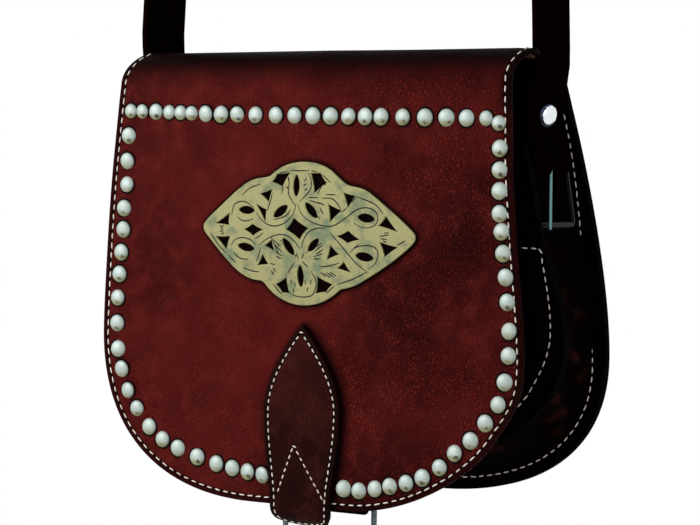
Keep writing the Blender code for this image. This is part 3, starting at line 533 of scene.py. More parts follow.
def resample(points: Array, spacing: float) -> Array:
    """Points at equal steps of about the given spacing along a path."""
    lengths = run_lengths(points)
    return picked(points, lengths, np.linspace(0.0, lengths[-1], max(2, round(lengths[-1] / spacing) + 1)))


def polyline(corners: Sequence[Sequence[float]], steps: int) -> Array:
    """Points along a smooth line through corners given in millimetres.

    Args:
        corners: points in millimetres.
        steps: pieces between two corners.

    Returns:
        The points in metres.
    """
    points = np.array(corners, float) * MM
    marks = np.arange(len(points))
    return picked(points, marks, np.linspace(0, marks[-1], steps * (len(points) - 1) + 1))


def closed(ring: Array) -> Array:
    """A ring that ends where it starts."""
    return np.vstack([ring, ring[:1]])


def rounded(ring: Array, times: int) -> Array:
    """Cut the corners of a closed ring, twice as finely each time.

    Args:
        ring: the closed ring.
        times: how often the corners are cut.

    Returns:
        The rounder ring.
    """
    for _ in range(times):
        ahead = np.roll(ring, -1, axis=0)
        ring = np.stack([blend(ring, ahead, 0.25), blend(ring, ahead, 0.75)], axis=1).reshape(-1, 2)
    return ring


def curved(corners: Sequence[Sequence[float]]) -> Array:
    """A smooth open line near corners given in millimetres, which keeps its ends.

    Args:
        corners: points in millimetres.

    Returns:
        The points in metres.
    """
    line = np.array(corners, float) * MM
    for _ in range(3):
        cut = np.stack([blend(line[:-1], line[1:], 0.25), blend(line[:-1], line[1:], 0.75)], axis=1).reshape(-1, 2)
        line = np.vstack([line[:1], cut[1:-1], line[-1:]])
    return line


def inside(points: Array, ring: Array) -> Array:
    """Which flat points lie within a closed ring.

    Args:
        points: flat points as rows.
        ring: the closed ring.

    Returns:
        True for each point that lies within.
    """
    found = np.zeros(len(points), bool)
    for (x0, z0), (x1, z1) in zip(ring, np.roll(ring, -1, axis=0)):
        if z0 != z1:
            crossing = x0 + (points[:, 1] - z0) * (x1 - x0) / (z1 - z0)
            found ^= ((z0 > points[:, 1]) != (z1 > points[:, 1])) & (points[:, 0] < crossing)
    return found


def whole(half: Array) -> Array:
    """Both halves of an outline, left top over the bottom to right top."""
    return np.vstack([half * (-1, 1), half[::-1]])


def in_frame(x: Array, y: Array, z: Array) -> Array:
    """Points given around the middle of the bag, as rows in the part's frame."""
    return np.column_stack(np.broadcast_arrays(x, y, z - HANG))


def distance_to(points: Array, line: Array) -> Array:
    """Shortest distance of each flat point to a line of flat points.

    Args:
        points: flat points as rows.
        line: the line's points, in order.

    Returns:
        One distance for each point.
    """
    start, run = line[:-1], np.diff(line, axis=0)
    length = (run ** 2).sum(1) + 1e-18
    best = np.full(len(points), np.inf)
    for origin, way, square in zip(start, run, length):
        share = np.clip(((points - origin) @ way) / square, 0.0, 1.0)
        best = np.minimum(best, np.linalg.norm(points - origin - share[:, None] * way, axis=1))
    return best


def deselect() -> None:
    """Leave nothing selected, so that an operator acts on what comes next alone."""
    if bpy.context.object and bpy.context.object.mode != "OBJECT":
        bpy.ops.object.mode_set(mode="OBJECT")
    bpy.ops.object.select_all(action="DESELECT")


def coordinates(piece: bpy.types.Object) -> Array:
    """A mesh's points as rows."""
    flat = np.empty(len(piece.data.vertices) * 3)
    piece.data.vertices.foreach_get("co", flat)
    return flat.reshape(-1, 3)


def move_to(piece: bpy.types.Object, points: Array) -> None:
    """Give a mesh's points new places."""
    piece.data.vertices.foreach_set("co", np.ascontiguousarray(points).ravel())
    piece.data.update()


def store(piece: bpy.types.Object, name: str, values: Array) -> None:
    """Store one number a point on the mesh."""
    layer = piece.data.attributes.new(name, "FLOAT", "POINT")
    layer.data.foreach_set("value", np.asarray(values, np.float32))


def apply(piece: bpy.types.Object, kind: str, **settings: object) -> None:
    """Add a modifier and apply it.

    Args:
        piece: the object.
        kind: the modifier's type.
        settings: its properties.
    """
    deselect()
    bpy.context.view_layer.objects.active = piece
    piece.select_set(True)
    modifier = piece.modifiers.new(kind.lower(), kind)
    for key, value in settings.items():
        setattr(modifier, key, value)
    bpy.ops.object.modifier_apply(modifier=modifier.name)


def smooth(piece: bpy.types.Object, angle: float = 40.0) -> None:
    """Shade smooth, keeping edges sharper than the angle."""
    deselect()
    bpy.context.view_layer.objects.active = piece
    piece.select_set(True)
    bpy.ops.object.shade_smooth_by_angle(angle=math.radians(angle))


def dress(piece: bpy.types.Object, *materials: bpy.types.Material) -> None:
    """Give a piece its materials."""
    piece.data.materials.clear()
    for material in materials:
        piece.data.materials.append(material)


def sheet_grid(name: str, columns: int, rows: int, place: Callable[[Array, Array], Array]) -> bpy.types.Object:
    """A grid whose points are put in place.

    Args:
        name: the piece's name.
        columns: faces across.
        rows: faces down.
        place: takes the shares across (-1 to 1) and down (0 to 1), gives points as rows.

    Returns:
        The open sheet, facing the way it was laid.
    """
    deselect()
    bpy.ops.mesh.primitive_grid_add(x_subdivisions=columns, y_subdivisions=rows, size=2)
    piece = bpy.context.object
    piece.name = piece.data.name = name
    flat = coordinates(piece)
    move_to(piece, place(flat[:, 0], (1.0 - flat[:, 1]) / 2.0))
    return piece


def face_towards(piece: bpy.types.Object, outward: Callable[[Vector], Vector]) -> None:
    """Turn an open sheet's faces so that most of it points outwards."""
    tally = sum(face.normal.dot(outward(face.center)) * face.area for face in piece.data.polygons)
    if tally < 0:
        piece.data.flip_normals()


def thicken(piece: bpy.types.Object, thickness: float, offset: float = -1.0, even: bool = True,
            roll: float = 0.0007) -> None:
    """Turn a sheet into leather: grain outside, flesh inside, and a rounded cut edge.

    Args:
        piece: the open sheet.
        thickness: how thick the leather is.
        offset: -1 grows inwards, 0 to both sides.
        even: whether bends keep the thickness.
        roll: how far the cut edges are rounded.
    """
    apply(piece, "SOLIDIFY", thickness=thickness, offset=offset, use_even_offset=even, material_offset=1,
          material_offset_rim=2)
    apply(piece, "BEVEL", width=roll, segments=2, limit_method="ANGLE", angle_limit=math.radians(55),
          loop_slide=False)
    smooth(piece)


def scatter(name: str, master: bpy.types.Object, origins: Array, axes: Array) -> bpy.types.Object:
    """Copies of one small shape in one mesh.

    Args:
        name: the new piece's name.
        master: the shape, which is removed afterwards.
        origins: where each copy's origin goes.
        axes: three rows for each copy, where its X, Y and Z axes point, with their lengths.

    Returns:
        The piece with all the copies.
    """
    shape = coordinates(master)
    faces = [tuple(face.vertices) for face in master.data.polygons]
    points = np.einsum("vk,nkc->nvc", shape, axes) + origins[:, None, :]
    turned = [tuple(corner + copy * len(shape) for corner in face) for copy in range(len(origins)) for face in faces]
    mesh = bpy.data.meshes.new(name)
    mesh.from_pydata(points.reshape(-1, 3).tolist(), [], turned)
    mesh.update()
    piece = bpy.data.objects.new(name, mesh)
    bpy.context.scene.collection.objects.link(piece)
    for name_of, axis in (("across", 0), ("up", 1)):
        store(piece, name_of, np.tile(shape[:, axis], len(origins)))
    store(piece, "lot", np.repeat(np.random.default_rng(SEED).uniform(0.0, 1.0, len(origins)), len(shape)))
    bpy.data.objects.remove(master, do_unlink=True)
    return piece


def frames_along(points: Array, normals: Array) -> tuple[Array, Array, Array]:
    """Tangent, side and normal directions at each point of a path.

    Args:
        points: the path.
        normals: outward directions near it.

    Returns:
        Three sets of unit rows, square to each other.
    """
    run = np.gradient(points, axis=0)
    run /= np.linalg.norm(run, axis=1)[:, None]
    face = normals - (normals * run).sum(1)[:, None] * run
    face /= np.linalg.norm(face, axis=1)[:, None]
    return run, np.cross(face, run), face


@dataclass
class Thread:
    """A row of stitches: their length, their pitch and the thread's thickness."""

    pitch: float = 5.3 * MM
    share: float = 0.68
    radius: float = 0.42 * MM

    def sew(self, name: str, points: Array, normals: Array) -> bpy.types.Object:
        """Sew along a path on a surface.

        Args:
            name: the piece's name.
            points: the path, as rows.
            normals: the surface's outward directions there.

        Returns:
            The row of stitches.
        """
        lengths = run_lengths(points)
        at = np.linspace(0.0, lengths[-1], max(2, round(lengths[-1] / self.pitch) + 1))
        spots = picked(points, lengths, at)
        run, side, face = frames_along(spots, picked(normals, lengths, at))
        deselect()
        bpy.ops.mesh.primitive_uv_sphere_add(segments=8, ring_count=6, radius=1.0)
        master = bpy.context.object
        chance = np.random.default_rng(SEED + len(at))
        along = (run + side * chance.normal(0.0, 0.05, (len(at), 1))) * self.pitch * self.share / 2.0
        along *= chance.uniform(0.88, 1.08, (len(at), 1))
        axes = np.stack([side * self.radius, face * self.radius * 0.95, along], axis=1)
        piece = scatter(name, master, spots + face * self.radius * 0.12, axes)
        smooth(piece, 80.0)
        return piece


@dataclass
class Panel:
    """A leather panel: a half outline on the flat, and a way to lay it on the bag."""

    thickness: float
    columns: int = 84
    rows: int = 110

    def half(self) -> Array:
        """The right half of the outline, downwards, without its bottom middle."""
        raise NotImplementedError

    def surface(self, x: Array, z: Array) -> Array:
        """Lay flat points on the bag's outer face."""
        raise NotImplementedError

    def worn(self, flat: Array) -> Array:
        """Where use has moved flat points of the outline; a plain panel keeps its shape."""
        return flat

    def normal(self, x: Array, z: Array) -> Array:
        """Outward directions of the face, which looks along -Y where it is flat.

        Args:
            x: flat places across.
            z: flat places up.

        Returns:
            Unit directions as rows.
        """
        step = 0.3 * MM
        across = self.surface(x + step, z) - self.surface(x - step, z)
        up = self.surface(x, z + step) - self.surface(x, z - step)
        face = np.cross(across, up)
        return face / np.linalg.norm(face, axis=1)[:, None]

    def lay(self, name: str, marks: Optional[dict[str, Callable[[Array], Array]]] = None) -> bpy.types.Object:
        """The open sheet, with its distance from the cut edge stored as rim.

        Args:
            name: the piece's name.
            marks: more numbers to store by name, each worked out from the flat places.

        Returns:
            The sheet.
        """
        half = self.half()
        run = run_lengths(half)
        flat: list[Array] = []

        def place(across: Array, down: Array) -> Array:
            """Spread each row between the outline's two sides."""
            at = down * run[-1]
            x, z = across * np.interp(at, run, half[:, 0]), np.interp(at, run, half[:, 1])
            flat.append(np.column_stack([x, z]))
            x, z = self.worn(flat[0]).T
            return self.surface(x, z)

        piece = sheet_grid(name, self.columns, self.rows, place)
        store(piece, "rim", distance_to(flat[0], whole(half)))
        for mark, worked_out in (marks or {}).items():
            store(piece, mark, worked_out(self.worn(flat[0])))
        return piece

    def seam(self, distance: float, top: Optional[float] = None) -> Array:
        """The flat line at a distance inside the edge, optionally only below a height.

        Args:
            distance: from the edge.
            top: where the seam starts.

        Returns:
            The line as flat rows.
        """
        line = self.worn(whole(inset(self.half(), distance)))
        return line if top is None else line[line[:, 1] < top]

    def on(self, line: Array) -> tuple[Array, Array]:
        """Places and outward directions of a flat line."""
        return self.surface(line[:, 0], line[:, 1]), self.normal(line[:, 0], line[:, 1])


SIDE_PULLS = ((0.4, 0.24), (1.0, 0.72))
CORNER_PULLS = ((0.0, 0.62), (0.36, 1.0))
CURVE_STEPS = 60


def half_panel(top: Sequence[float], waist: Sequence[float], bottom: Sequence[float]) -> Array:
    """The right half of a panel's outline: its top corner, its widest point and the end of its bottom edge.

    Args:
        top: the top corner.
        waist: the widest point.
        bottom: where the bottom edge ends.

    Returns:
        The half outline, downwards.
    """
    side = pulled(top, waist, SIDE_PULLS, CURVE_STEPS)
    corner = pulled(waist, bottom, CORNER_PULLS, CURVE_STEPS)
    return np.vstack([side, corner[1:]])


TOP_SLOPE = 0.015
FRONT_TOP_Y = -27 * MM
FRONT_SINKS = 21 * MM


@dataclass
class BagForm:
    """Sizes that the leather pieces share."""

    flap_face_y: float = -44 * MM
    back_face_y: float = 46 * MM
    top_z: float = 111 * MM
    gap: float = 0.3 * MM
    back_top: tuple[float, float] = (105 * MM, 99 * MM)
    back_waist: tuple[float, float] = (135.5 * MM, -50 * MM)
    back_bottom: tuple[float, float] = (35 * MM, -125 * MM)
    back_bend: float = 12 * MM
    front_top: tuple[float, float] = (121 * MM, 62 * MM)
    front_waist: tuple[float, float] = (137 * MM, -35 * MM)
    front_bottom: tuple[float, float] = (30 * MM, -104 * MM)
    flap_bend: float = 18 * MM
    flap_root: float = 2 * MM
    hinge_half: float = 120.5 * MM
    bridge_front: float = 112.5 * MM
    bridge_rear: float = 104 * MM
    left_out: float = 7 * MM
    body_leather: float = 2.4 * MM
    gusset_leather: float = 2.0 * MM
    front_leather: float = 2.0 * MM
    pocket_leather: float = 1.8 * MM
    pocket_swell: float = 9.4 * MM

    @property
    def hinge_y(self) -> float:
        """Depth of the flap's hinge."""
        return self.flap_face_y + self.flap_bend + self.flap_root

    def back_half(self) -> Array:
        """Right half of the back panel's outline."""
        return half_panel(self.back_top, self.back_waist, self.back_bottom)

    def front_half(self) -> Array:
        """Right half of the front panel's outline."""
        return half_panel(self.front_top, self.front_waist, self.front_bottom)

    @staticmethod
    def front_y(z: Array) -> Array:
        """Outer face of the front panel, which sinks in below its upper part."""
        return FRONT_TOP_Y + FRONT_SINKS * ease((30 * MM - z) / (75 * MM))

    @staticmethod
    def tilt(x: Array, up: Array, from_hinge: Array) -> Array:
        """How much the old bag's top edge rises to the right.

        Args:
            x: places across the bag.
            up: heights over the bag's middle.
            from_hinge: distances from the hinge line, where nothing may stand above its axis.

        Returns:
            The rise at each place, negative on the left.
        """
        rise = x * TOP_SLOPE * ease((up - 80 * MM) / (20 * MM))
        return np.where(rise > 0, rise * ease(from_hinge / (8 * MM)), rise)


FORM = BagForm()
PLATE_MIDDLE = (2.0 * MM, 14.6 * MM)
FLAT_FOR_PLATE = (75 * MM, 48 * MM)
HOLLOW = 0.45 * MM
FLAP_EDGE_SHIFTS = ((-130, 0.0), (-85, 0.8), (-60, 2.0), (-45, 1.3), (0, -1.6), (20, -2.4), (50, -3.0), (78, -1.2),
                    (95, 0.0))


@dataclass
class FlapPanel(Panel):
    """The flap: over the top in a bend, then down the front."""

    depth: float = 0.0
    edge_inset: float = 0.0
    spring: float = FORM.top_z - FORM.flap_bend
    quarter: float = FORM.flap_bend * math.pi / 2
    askew: float = 7 * MM
    corner_lift: float = 6.0 * MM

    @staticmethod
    def sides() -> Array:
        """Right half of the flap's outline below its bend."""
        return half_panel((121.5 * MM, FORM.top_z - FORM.flap_bend), (130.7 * MM, -42 * MM), (30 * MM, -130 * MM))

    def worn(self, flat: Array) -> Array:
        """The right edge has drawn in above its middle, and the lower right corner has curled up.

        Args:
            flat: points of the plain outline.

        Returns:
            The points after years of use.
        """
        x, z = flat.T
        right = ease((x - 50 * MM) / (70 * MM))
        heights, shifts = np.array(FLAP_EDGE_SHIFTS).T * MM
        lift = self.corner_lift * ease((x - 28 * MM) / (78 * MM)) * ease((-60 * MM - z) / (34 * MM))
        return np.column_stack([x + np.interp(z, heights, shifts) * right, z + lift])

    def half(self) -> Array:
        """From the hinge over the shoulder to the bottom edge."""
        hinge = (FORM.hinge_half - self.edge_inset, self.spring + self.quarter + FORM.flap_root)
        side = inset(self.sides(), self.edge_inset)
        return np.vstack([np.linspace(hinge, side[0], 16)[:-1], side])

    def surface(self, x: Array, z: Array) -> Array:
        """Bend the flat flap over the top; worn leather has a slight swell and hollows.

        Args:
            x: flat places across.
            z: flat places up, past the fold to the hinge.

        Returns:
            The places in the part's frame.
        """
        radius = FORM.flap_bend - self.depth
        over = np.maximum(0.0, z - self.spring)
        turn = np.minimum(over, self.quarter) / FORM.flap_bend
        straight = np.maximum(0.0, over - self.quarter)
        back = FORM.flap_bend - radius * np.cos(turn) + straight
        up = np.minimum(z, self.spring) + radius * np.sin(turn)
        sink = self.wave(x, z) * (1 - ease(over / (10 * MM)))
        askew = self.askew * ease(over / self.quarter)
        from_hinge = self.spring + self.quarter + FORM.flap_root - z
        return in_frame(x + askew, FORM.flap_face_y + back + sink, up + FORM.tilt(x, up, from_hinge))

    @staticmethod
    def wave(x: Array, z: Array) -> Array:
        """Shallow hollows, none under the plate; positive sinks in."""
        wide, high = FLAT_FOR_PLATE
        clear = ease((np.hypot(x / wide, (z - PLATE_MIDDLE[1]) / high) - 1) / 0.45)
        hollow = np.sin(x * 41 + 1.1 + z * 13) + np.sin(z * 47 - x * 23 + 0.4) + 0.7 * np.sin(x * 83 + z * 71)
        return HOLLOW * (1 + hollow / 2.7) * clear


@dataclass
class BackPanel(Panel):
    """The back and the top, one sheet with a bend."""

    def half(self) -> Array:
        """From the hinge's edge over the bend to the bottom."""
        bend = FORM.back_bend * math.pi / 2
        spring = FORM.top_z - FORM.back_bend
        top = FORM.back_face_y - FORM.back_bend - FORM.hinge_y - FORM.gap
        rise = np.linspace((FORM.bridge_front, spring + bend + top), (FORM.bridge_rear, spring + bend), 16)[:-1]
        bow = np.linspace((FORM.bridge_rear, spring + bend), FORM.back_top, 10)[:-1]
        return np.vstack([rise, bow, FORM.back_half()])

    def surface(self, x: Array, z: Array) -> Array:
        """Back face, then over the bend and forward along the top.

        Args:
            x: flat places across.
            z: flat places up, past the bend to the hinge.

        Returns:
            The places in the part's frame.
        """
        spring = FORM.top_z - FORM.back_bend
        over = np.maximum(0.0, z - spring)
        bend = FORM.back_bend * math.pi / 2
        turn = np.minimum(over, bend) / FORM.back_bend
        forward = FORM.back_bend * (1 - np.cos(turn)) + np.maximum(0.0, over - bend)
        up = np.minimum(z, spring) + FORM.back_bend * np.sin(turn)
        y = FORM.back_face_y - forward
        return in_frame(x, y, up + FORM.tilt(x, up, y - FORM.hinge_y))

    def normal(self, x: Array, z: Array) -> Array:
        """Outward directions, along +Y where it is flat."""
        return -super().normal(x, z)


@dataclass
class FrontPanel(Panel):
    """The front panel behind the flap."""

    def half(self) -> Array:
        """The front outline."""
        return FORM.front_half()

    def surface(self, x: Array, z: Array) -> Array:
        """It sinks in towards the back below its upper part."""
        return in_frame(x, FORM.front_y(z), z)


@dataclass
class PocketPanel(Panel):
    """The pocket patch, swollen in its middle; each swell runs from a place over a length."""

    top: float = 13.5 * MM
    swell: float = FORM.pocket_swell
    swell_across: tuple[float, float] = (118 * MM, 56 * MM)
    swell_up: tuple[float, float] = (96 * MM, 24 * MM)

    def half(self) -> Array:
        """The front outline below the pocket's mouth."""
        line = FORM.front_half()
        low = line[line[:, 1] < self.top]
        return np.vstack([[low[0, 0], self.top], low])

    def surface(self, x: Array, z: Array) -> Array:
        """The outer face of the patch."""
        across = ease((self.swell_across[0] - np.abs(x)) / self.swell_across[1])
        up = ease((self.swell_up[0] + z) / self.swell_up[1])
        return in_frame(x, FORM.front_y(z) - FORM.gap - self.thickness - self.swell * across * up, z)


@dataclass
class TabPanel(Panel):
    """The closure leaf on the flap, whose tail curls back under the edge."""

    centre_x: float = 1.5 * MM
    tip_z: float = -34 * MM
    curl_z: float = -130.3 * MM
    curl_radius: float = 9 * MM
    curl_turn: float = math.radians(62)
    tail: float = 5.5 * MM
    widest: tuple[float, float] = (23.2 * MM, -80 * MM)
    neck_half: float = 18.5 * MM
    crown: float = 0.5 * MM

    def half(self) -> Array:
        """From the tip over the widest point and the neck to the tail's end."""
        end = self.curl_z - self.curl_radius * self.curl_turn - self.tail
        leaf = pulled((0.4 * MM, self.tip_z), self.widest, ((0.4, 0.24), (1.0, 0.6)), 50)
        neck = pulled(self.widest, (self.neck_half, self.curl_z), ((0.0, 0.4), (1.0, 0.7)), 30)
        tail = pulled((self.neck_half, self.curl_z), (0.2 * MM, end), ((0.0, 0.7), (0.35, 1.0)), 30)
        return np.vstack([leaf, neck[1:], tail[1:]])

    def surface(self, x: Array, z: Array) -> Array:
        """Lie on the flap with a soft crown, then curl back.

        Args:
            x: flat places across.
            z: flat places up.

        Returns:
            The places in the part's frame.
        """
        past = np.maximum(0.0, self.curl_z - z)
        turn = np.minimum(past, self.curl_radius * self.curl_turn) / self.curl_radius
        straight = np.maximum(0.0, past - self.curl_radius * self.curl_turn)
        back = self.curl_radius * (1 - np.cos(turn)) + straight * np.sin(turn)
        down = self.curl_radius * np.sin(turn) + straight * np.cos(turn)
        arch = 1 - np.clip(np.abs(x) / (20 * MM), 0, 1) ** 2
        crown = self.crown * ease((z - self.curl_z) / (20 * MM)) * arch
        rest = FlapPanel.wave(x + self.centre_x, np.maximum(z, self.curl_z))
        y = FORM.flap_face_y - FORM.gap - self.thickness - crown + back + rest
        return in_frame(x + self.centre_x, y, np.maximum(z, self.curl_z) - down)


@dataclass
class GussetForm:
    """The strip round both sides and the bottom, with its edges turned out."""

    thickness: float = 2.0 * MM
    shares: tuple[float, ...] = (0.0, 0.02, 0.045, 0.08, 0.13, 0.19, 0.26, 0.33, 0.4, 0.47, 0.54, 0.61, 0.67, 0.73,
                                 0.79, 0.84, 0.89, 0.93, 0.965, 1.0)
    columns: int = 280
    fold: float = 8 * MM
    seat_x: float = (116.9 - 1.6 - 0.3) * MM
    seat_from: float = 57.3 * MM
    seat_to: float = 67.6 * MM
    crest: float = 102 * MM
    fold_z: tuple[float, float] = (20 * MM, 45 * MM)
    flange_front: float = 7 * MM
    flange_back: float = 8 * MM
    crumple_deep: float = 1.9 * MM

    @staticmethod
    def seam_y(z: Array) -> tuple[Array, Array]:
        """Front and back ends of the wall's outer face.

        Args:
            z: heights.

        Returns:
            Both depths at each height.
        """
        slope = (FORM.front_y(z + MM) - FORM.front_y(z - MM)) / (2 * MM)
        stack = (FORM.front_leather + FORM.gap + FORM.gusset_leather) * np.hypot(1.0, slope)
        return FORM.front_y(z) + stack, np.full_like(z, FORM.back_face_y - FORM.body_leather - FORM.gap
                                                     - FORM.gusset_leather)

    def wall_x(self, line: Array, share: float) -> Array:
        """The side wall: flat under the strap's end, folded in lower down.

        Args:
            line: a flat line of the wall.
            share: 0 at the front, 1 at the back.

        Returns:
            How far out each of its points lies.
        """
        seam, z = np.abs(line[:, 0]), line[:, 1]
        seated = ease((z - self.seat_from) / (self.seat_to - self.seat_from))
        seat = self.seat_x + FORM.left_out * (line[:, 0] < 0)
        flat = float(ease(np.array(min(share / 0.07, (1 - share) / 0.3))))
        fold = self.fold * np.exp(-((z - self.fold_z[0]) / self.fold_z[1]) ** 2)
        return seam + ((seat - seam) * seated - fold * (1 - seated)) * flat

    def rail(self, share: float) -> tuple[Array, Array]:
        """One line of the wall from side to side, share 0 at the front and 1 at the back.

        Returns:
            Its points, and how much each is lit as the ridge of a crease.
        """
        rise = float(ease(np.array(share / 0.25)))
        crest = blend(FORM.front_top[1], FORM.back_top[1], share)
        crest = crest + (self.crest - crest) * rise * (1 - share)
        top = (blend(FORM.front_top[0], FORM.back_top[0], rise), crest)
        waist = tuple(blend(a, b, share) for a, b in zip(FORM.front_waist, FORM.back_waist))
        bottom = tuple(blend(a, b, share) for a, b in zip(FORM.front_bottom, FORM.back_bottom))
        line = whole(inset(half_panel(top, waist, bottom), blend(self.flange_front, self.flange_back, share)))
        reach = self.wall_x(line, share)
        wide = ease(np.abs(line[:, 0]) / FORM.back_top[0])
        crumple, ridge = self.crumple(line, share)
        x = np.sign(line[:, 0]) * (blend(np.abs(line[:, 0]), reach, wide) + crumple * wide)
        fore, aft = self.seam_y(line[:, 1])
        return in_frame(x, blend(fore, aft, share), line[:, 1] + crumple * (1 - wide)), ridge

    def crumple(self, line: Array, share: float) -> tuple[Array, Array]:
        """Creases that run down and forward low on the sides; they only sink in.

        Args:
            line: a flat line of the wall.
            share: 0 at the front, 1 at the back.

        Returns:
            How far each point moves, and how much it is lit as a ridge.
        """
        middle = math.sin(math.pi * share) ** 1.2
        low = ease((16 * MM - line[:, 1]) / (60 * MM)) * ease((np.abs(line[:, 0]) - 60 * MM) / (40 * MM))
        z = line[:, 1]
        wave = np.sin(z * 210 + share * 7.5 + np.sign(line[:, 0]) * 0.8)
        wave += 0.6 * np.sin(z * 390 - share * 9.0) + 0.35 * np.sin(z * 700 + share * 16.0)
        lit = middle * low * ease((wave - 0.45) / 1.2)
        return -self.crumple_deep * middle * low * (1.0 - wave * 0.5), lit

    def edge(self, front: bool) -> Array:
        """The outer edge of a turned-out flange."""
        line = whole(FORM.front_half() if front else FORM.back_half())
        return in_frame(line[:, 0], self.seam_y(line[:, 1])[0 if front else 1], line[:, 1])

    def lay(self) -> bpy.types.Object:
        """The whole strip as leather.

        Returns:
            The gusset, with its flanges.
        """
        rails, ridges = map(list, zip(*(self.rail(share) for share in self.shares)))
        flange = (0.0, 0.4, 0.8)
        rows = [blend(self.edge(True), rails[0], part) for part in flange] + rails
        rows += [blend(rails[-1], self.edge(False), 1 - part) for part in reversed(flange)]
        plain = [np.zeros(len(ridges[0]))] * len(flange)
        stack = np.concatenate([np.stack(rows), np.stack(plain + ridges + plain)[..., None]], axis=2)
        counted = np.arange(stack.shape[1])
        runs = np.linspace(0, stack.shape[1] - 1, self.columns + 1)
        grid = np.stack([picked(row, counted, runs) for row in stack])
        fold: list[Array] = []

        def place(across: Array, down: Array) -> Array:
            """Pick the point of the rails."""
            column = np.rint((across + 1) / 2 * self.columns).astype(int)
            row = np.rint(down * (len(grid) - 1)).astype(int)
            fold.append(grid[row, column, 3])
            return grid[row, column, :3]

        def outward(centre: Vector) -> Vector:
            """Away from the middle of the bag, to the sides and down."""
            return Vector((centre.x, 0.0, centre.z + HANG))

        piece = sheet_grid("gusset_leather", self.columns, len(grid) - 1, place)
        store(piece, "rim", np.full(len(piece.data.vertices), 0.03))
        # The attribute fold says where the body leather gets a painted highlight on crease ridges.
        store(piece, "fold", fold[0])
        face_towards(piece, outward)
        apply(piece, "SUBSURF", levels=1, render_levels=1)
        thicken(piece, self.thickness, even=False, roll=0.0005)
        return piece


@dataclass
class Strip:
    """A strap along a route, its width across the plane of its bends."""

    width: float
    thickness: float
    across: tuple[float, float, float]
    columns: int = 10

    def lay(self, name: str, route: Array, outward: Callable[[Vector], Vector]) -> bpy.types.Object:
        """Lay the strap along a route in the part's frame.

        Args:
            name: the piece's name.
            route: the strap's middle line.
            outward: tells the grain side from the flesh side.

        Returns:
            The strap.
        """
        sideways = np.array(self.across) * self.width / 2

        def place(across: Array, down: Array) -> Array:
            """Spread the route across the width."""
            row = np.rint(down * (len(route) - 1)).astype(int)
            return route[row] + across[:, None] * sideways

        piece = sheet_grid(name, self.columns, len(route) - 1, place)
        away = np.abs((coordinates(piece) - route.mean(0)) @ np.array(self.across))
        store(piece, "rim", self.width / 2 - away)
        face_towards(piece, outward)
        thicken(piece, self.thickness, offset=0.0, roll=0.0008)
        return piece


def round_bar(bar: Sequence[float], outward: Sequence[float], thickness: float, back: float,
              wire: float = 1.6 * MM, gap: float = 0.3 * MM, steps: int = 18) -> Array:
    """A strap's route round a bar: down its outer side and up its inner side.

    Args:
        bar: the bar's middle.
        outward: the strap's outer side.
        thickness: of the strap.
        back: how far the inner side runs back up.
        wire: the bar's radius.
        gap: between bar and strap.
        steps: points round the bar.

    Returns:
        The route as rows.
    """
    radius = wire + gap + thickness / 2
    turn = np.linspace(0, math.pi, steps)[:, None]
    way, down = np.array(outward, float), np.array((0.0, 0.0, -1.0))
    ring = np.array(bar) + way * radius * np.cos(turn) + down * radius * np.sin(turn)
    close = (radius * 2 - thickness - gap) * 0.3
    tail = ring[-1] + np.linspace(0, 1, 7)[1:, None] * (way * close - down * back)
    return np.vstack([ring, tail])


def as_mesh(name: str, curve: bpy.types.Curve) -> bpy.types.Object:
    """Turn a curve into a mesh piece."""
    piece = bpy.data.objects.new(name, curve)
    bpy.context.scene.collection.objects.link(piece)
    deselect()
    piece.select_set(True)
    bpy.context.view_layer.objects.active = piece
    bpy.ops.object.convert(target="MESH")
    return bpy.context.object


def tube(name: str, routes: Sequence[Array], radius: float, ring: bool = False, sides: int = 3,
         tapered: bool = False) -> bpy.types.Object:
    """Round wires through the points of routes, as one mesh.

    Args:
        name: the piece's name.
        routes: the middle line of each wire.
        radius: the wires' radius.
        ring: whether each wire closes on itself.
        sides: how finely the wires are rounded.
        tapered: whether the wires thin out towards their ends.

    Returns:
        The piece.
    """
    curve = bpy.data.curves.new(name, "CURVE")
    curve.dimensions = "3D"
    curve.bevel_depth = radius
    curve.bevel_resolution = sides
    curve.use_fill_caps = not ring
    for route in routes:
        spline = curve.splines.new("POLY")
        spline.points.add(len(route) - 1)
        swell = np.sin(np.linspace(0.12, 0.88, len(route)) * math.pi) ** 0.6
        for spot, point, wide in zip(spline.points, route, swell):
            spot.co = (*point, 1.0)
            spot.radius = wide if tapered else 1.0
        spline.use_cyclic_u = ring
    piece = as_mesh(name, curve)
    smooth(piece, 50.0)
    return piece


@dataclass
class SubAssembly:
    """Pieces that are built and dressed together."""

    finishes: Finishes

    def fit(self, piece: bpy.types.Object, body: Body, slot: Optional[Slot], nodes: Sequence[str],
            *finishes: str) -> bpy.types.Object:
        """Dress a finished piece, seat it on its body and report it.

        Args:
            piece: the finished mesh.
            body: what it rides on.
            slot: its material slot, if any; not used.
            nodes: the CAD nodes that it replaces.
            finishes: palette names, one for each slot.

        Returns:
            The piece.
        """
        dress(piece, *(self.finishes.get(name) for name in finishes))
        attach(piece, body.value)
        if nodes:
            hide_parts(*nodes)
        LOG.info("%s on %s: %d faces", piece.name, body.value, len(piece.data.polygons))
        return piece

    def build(self) -> None:
        """Build every piece."""
        raise NotImplementedError


LEATHER_SIDES = ("flesh", "cut_edge")


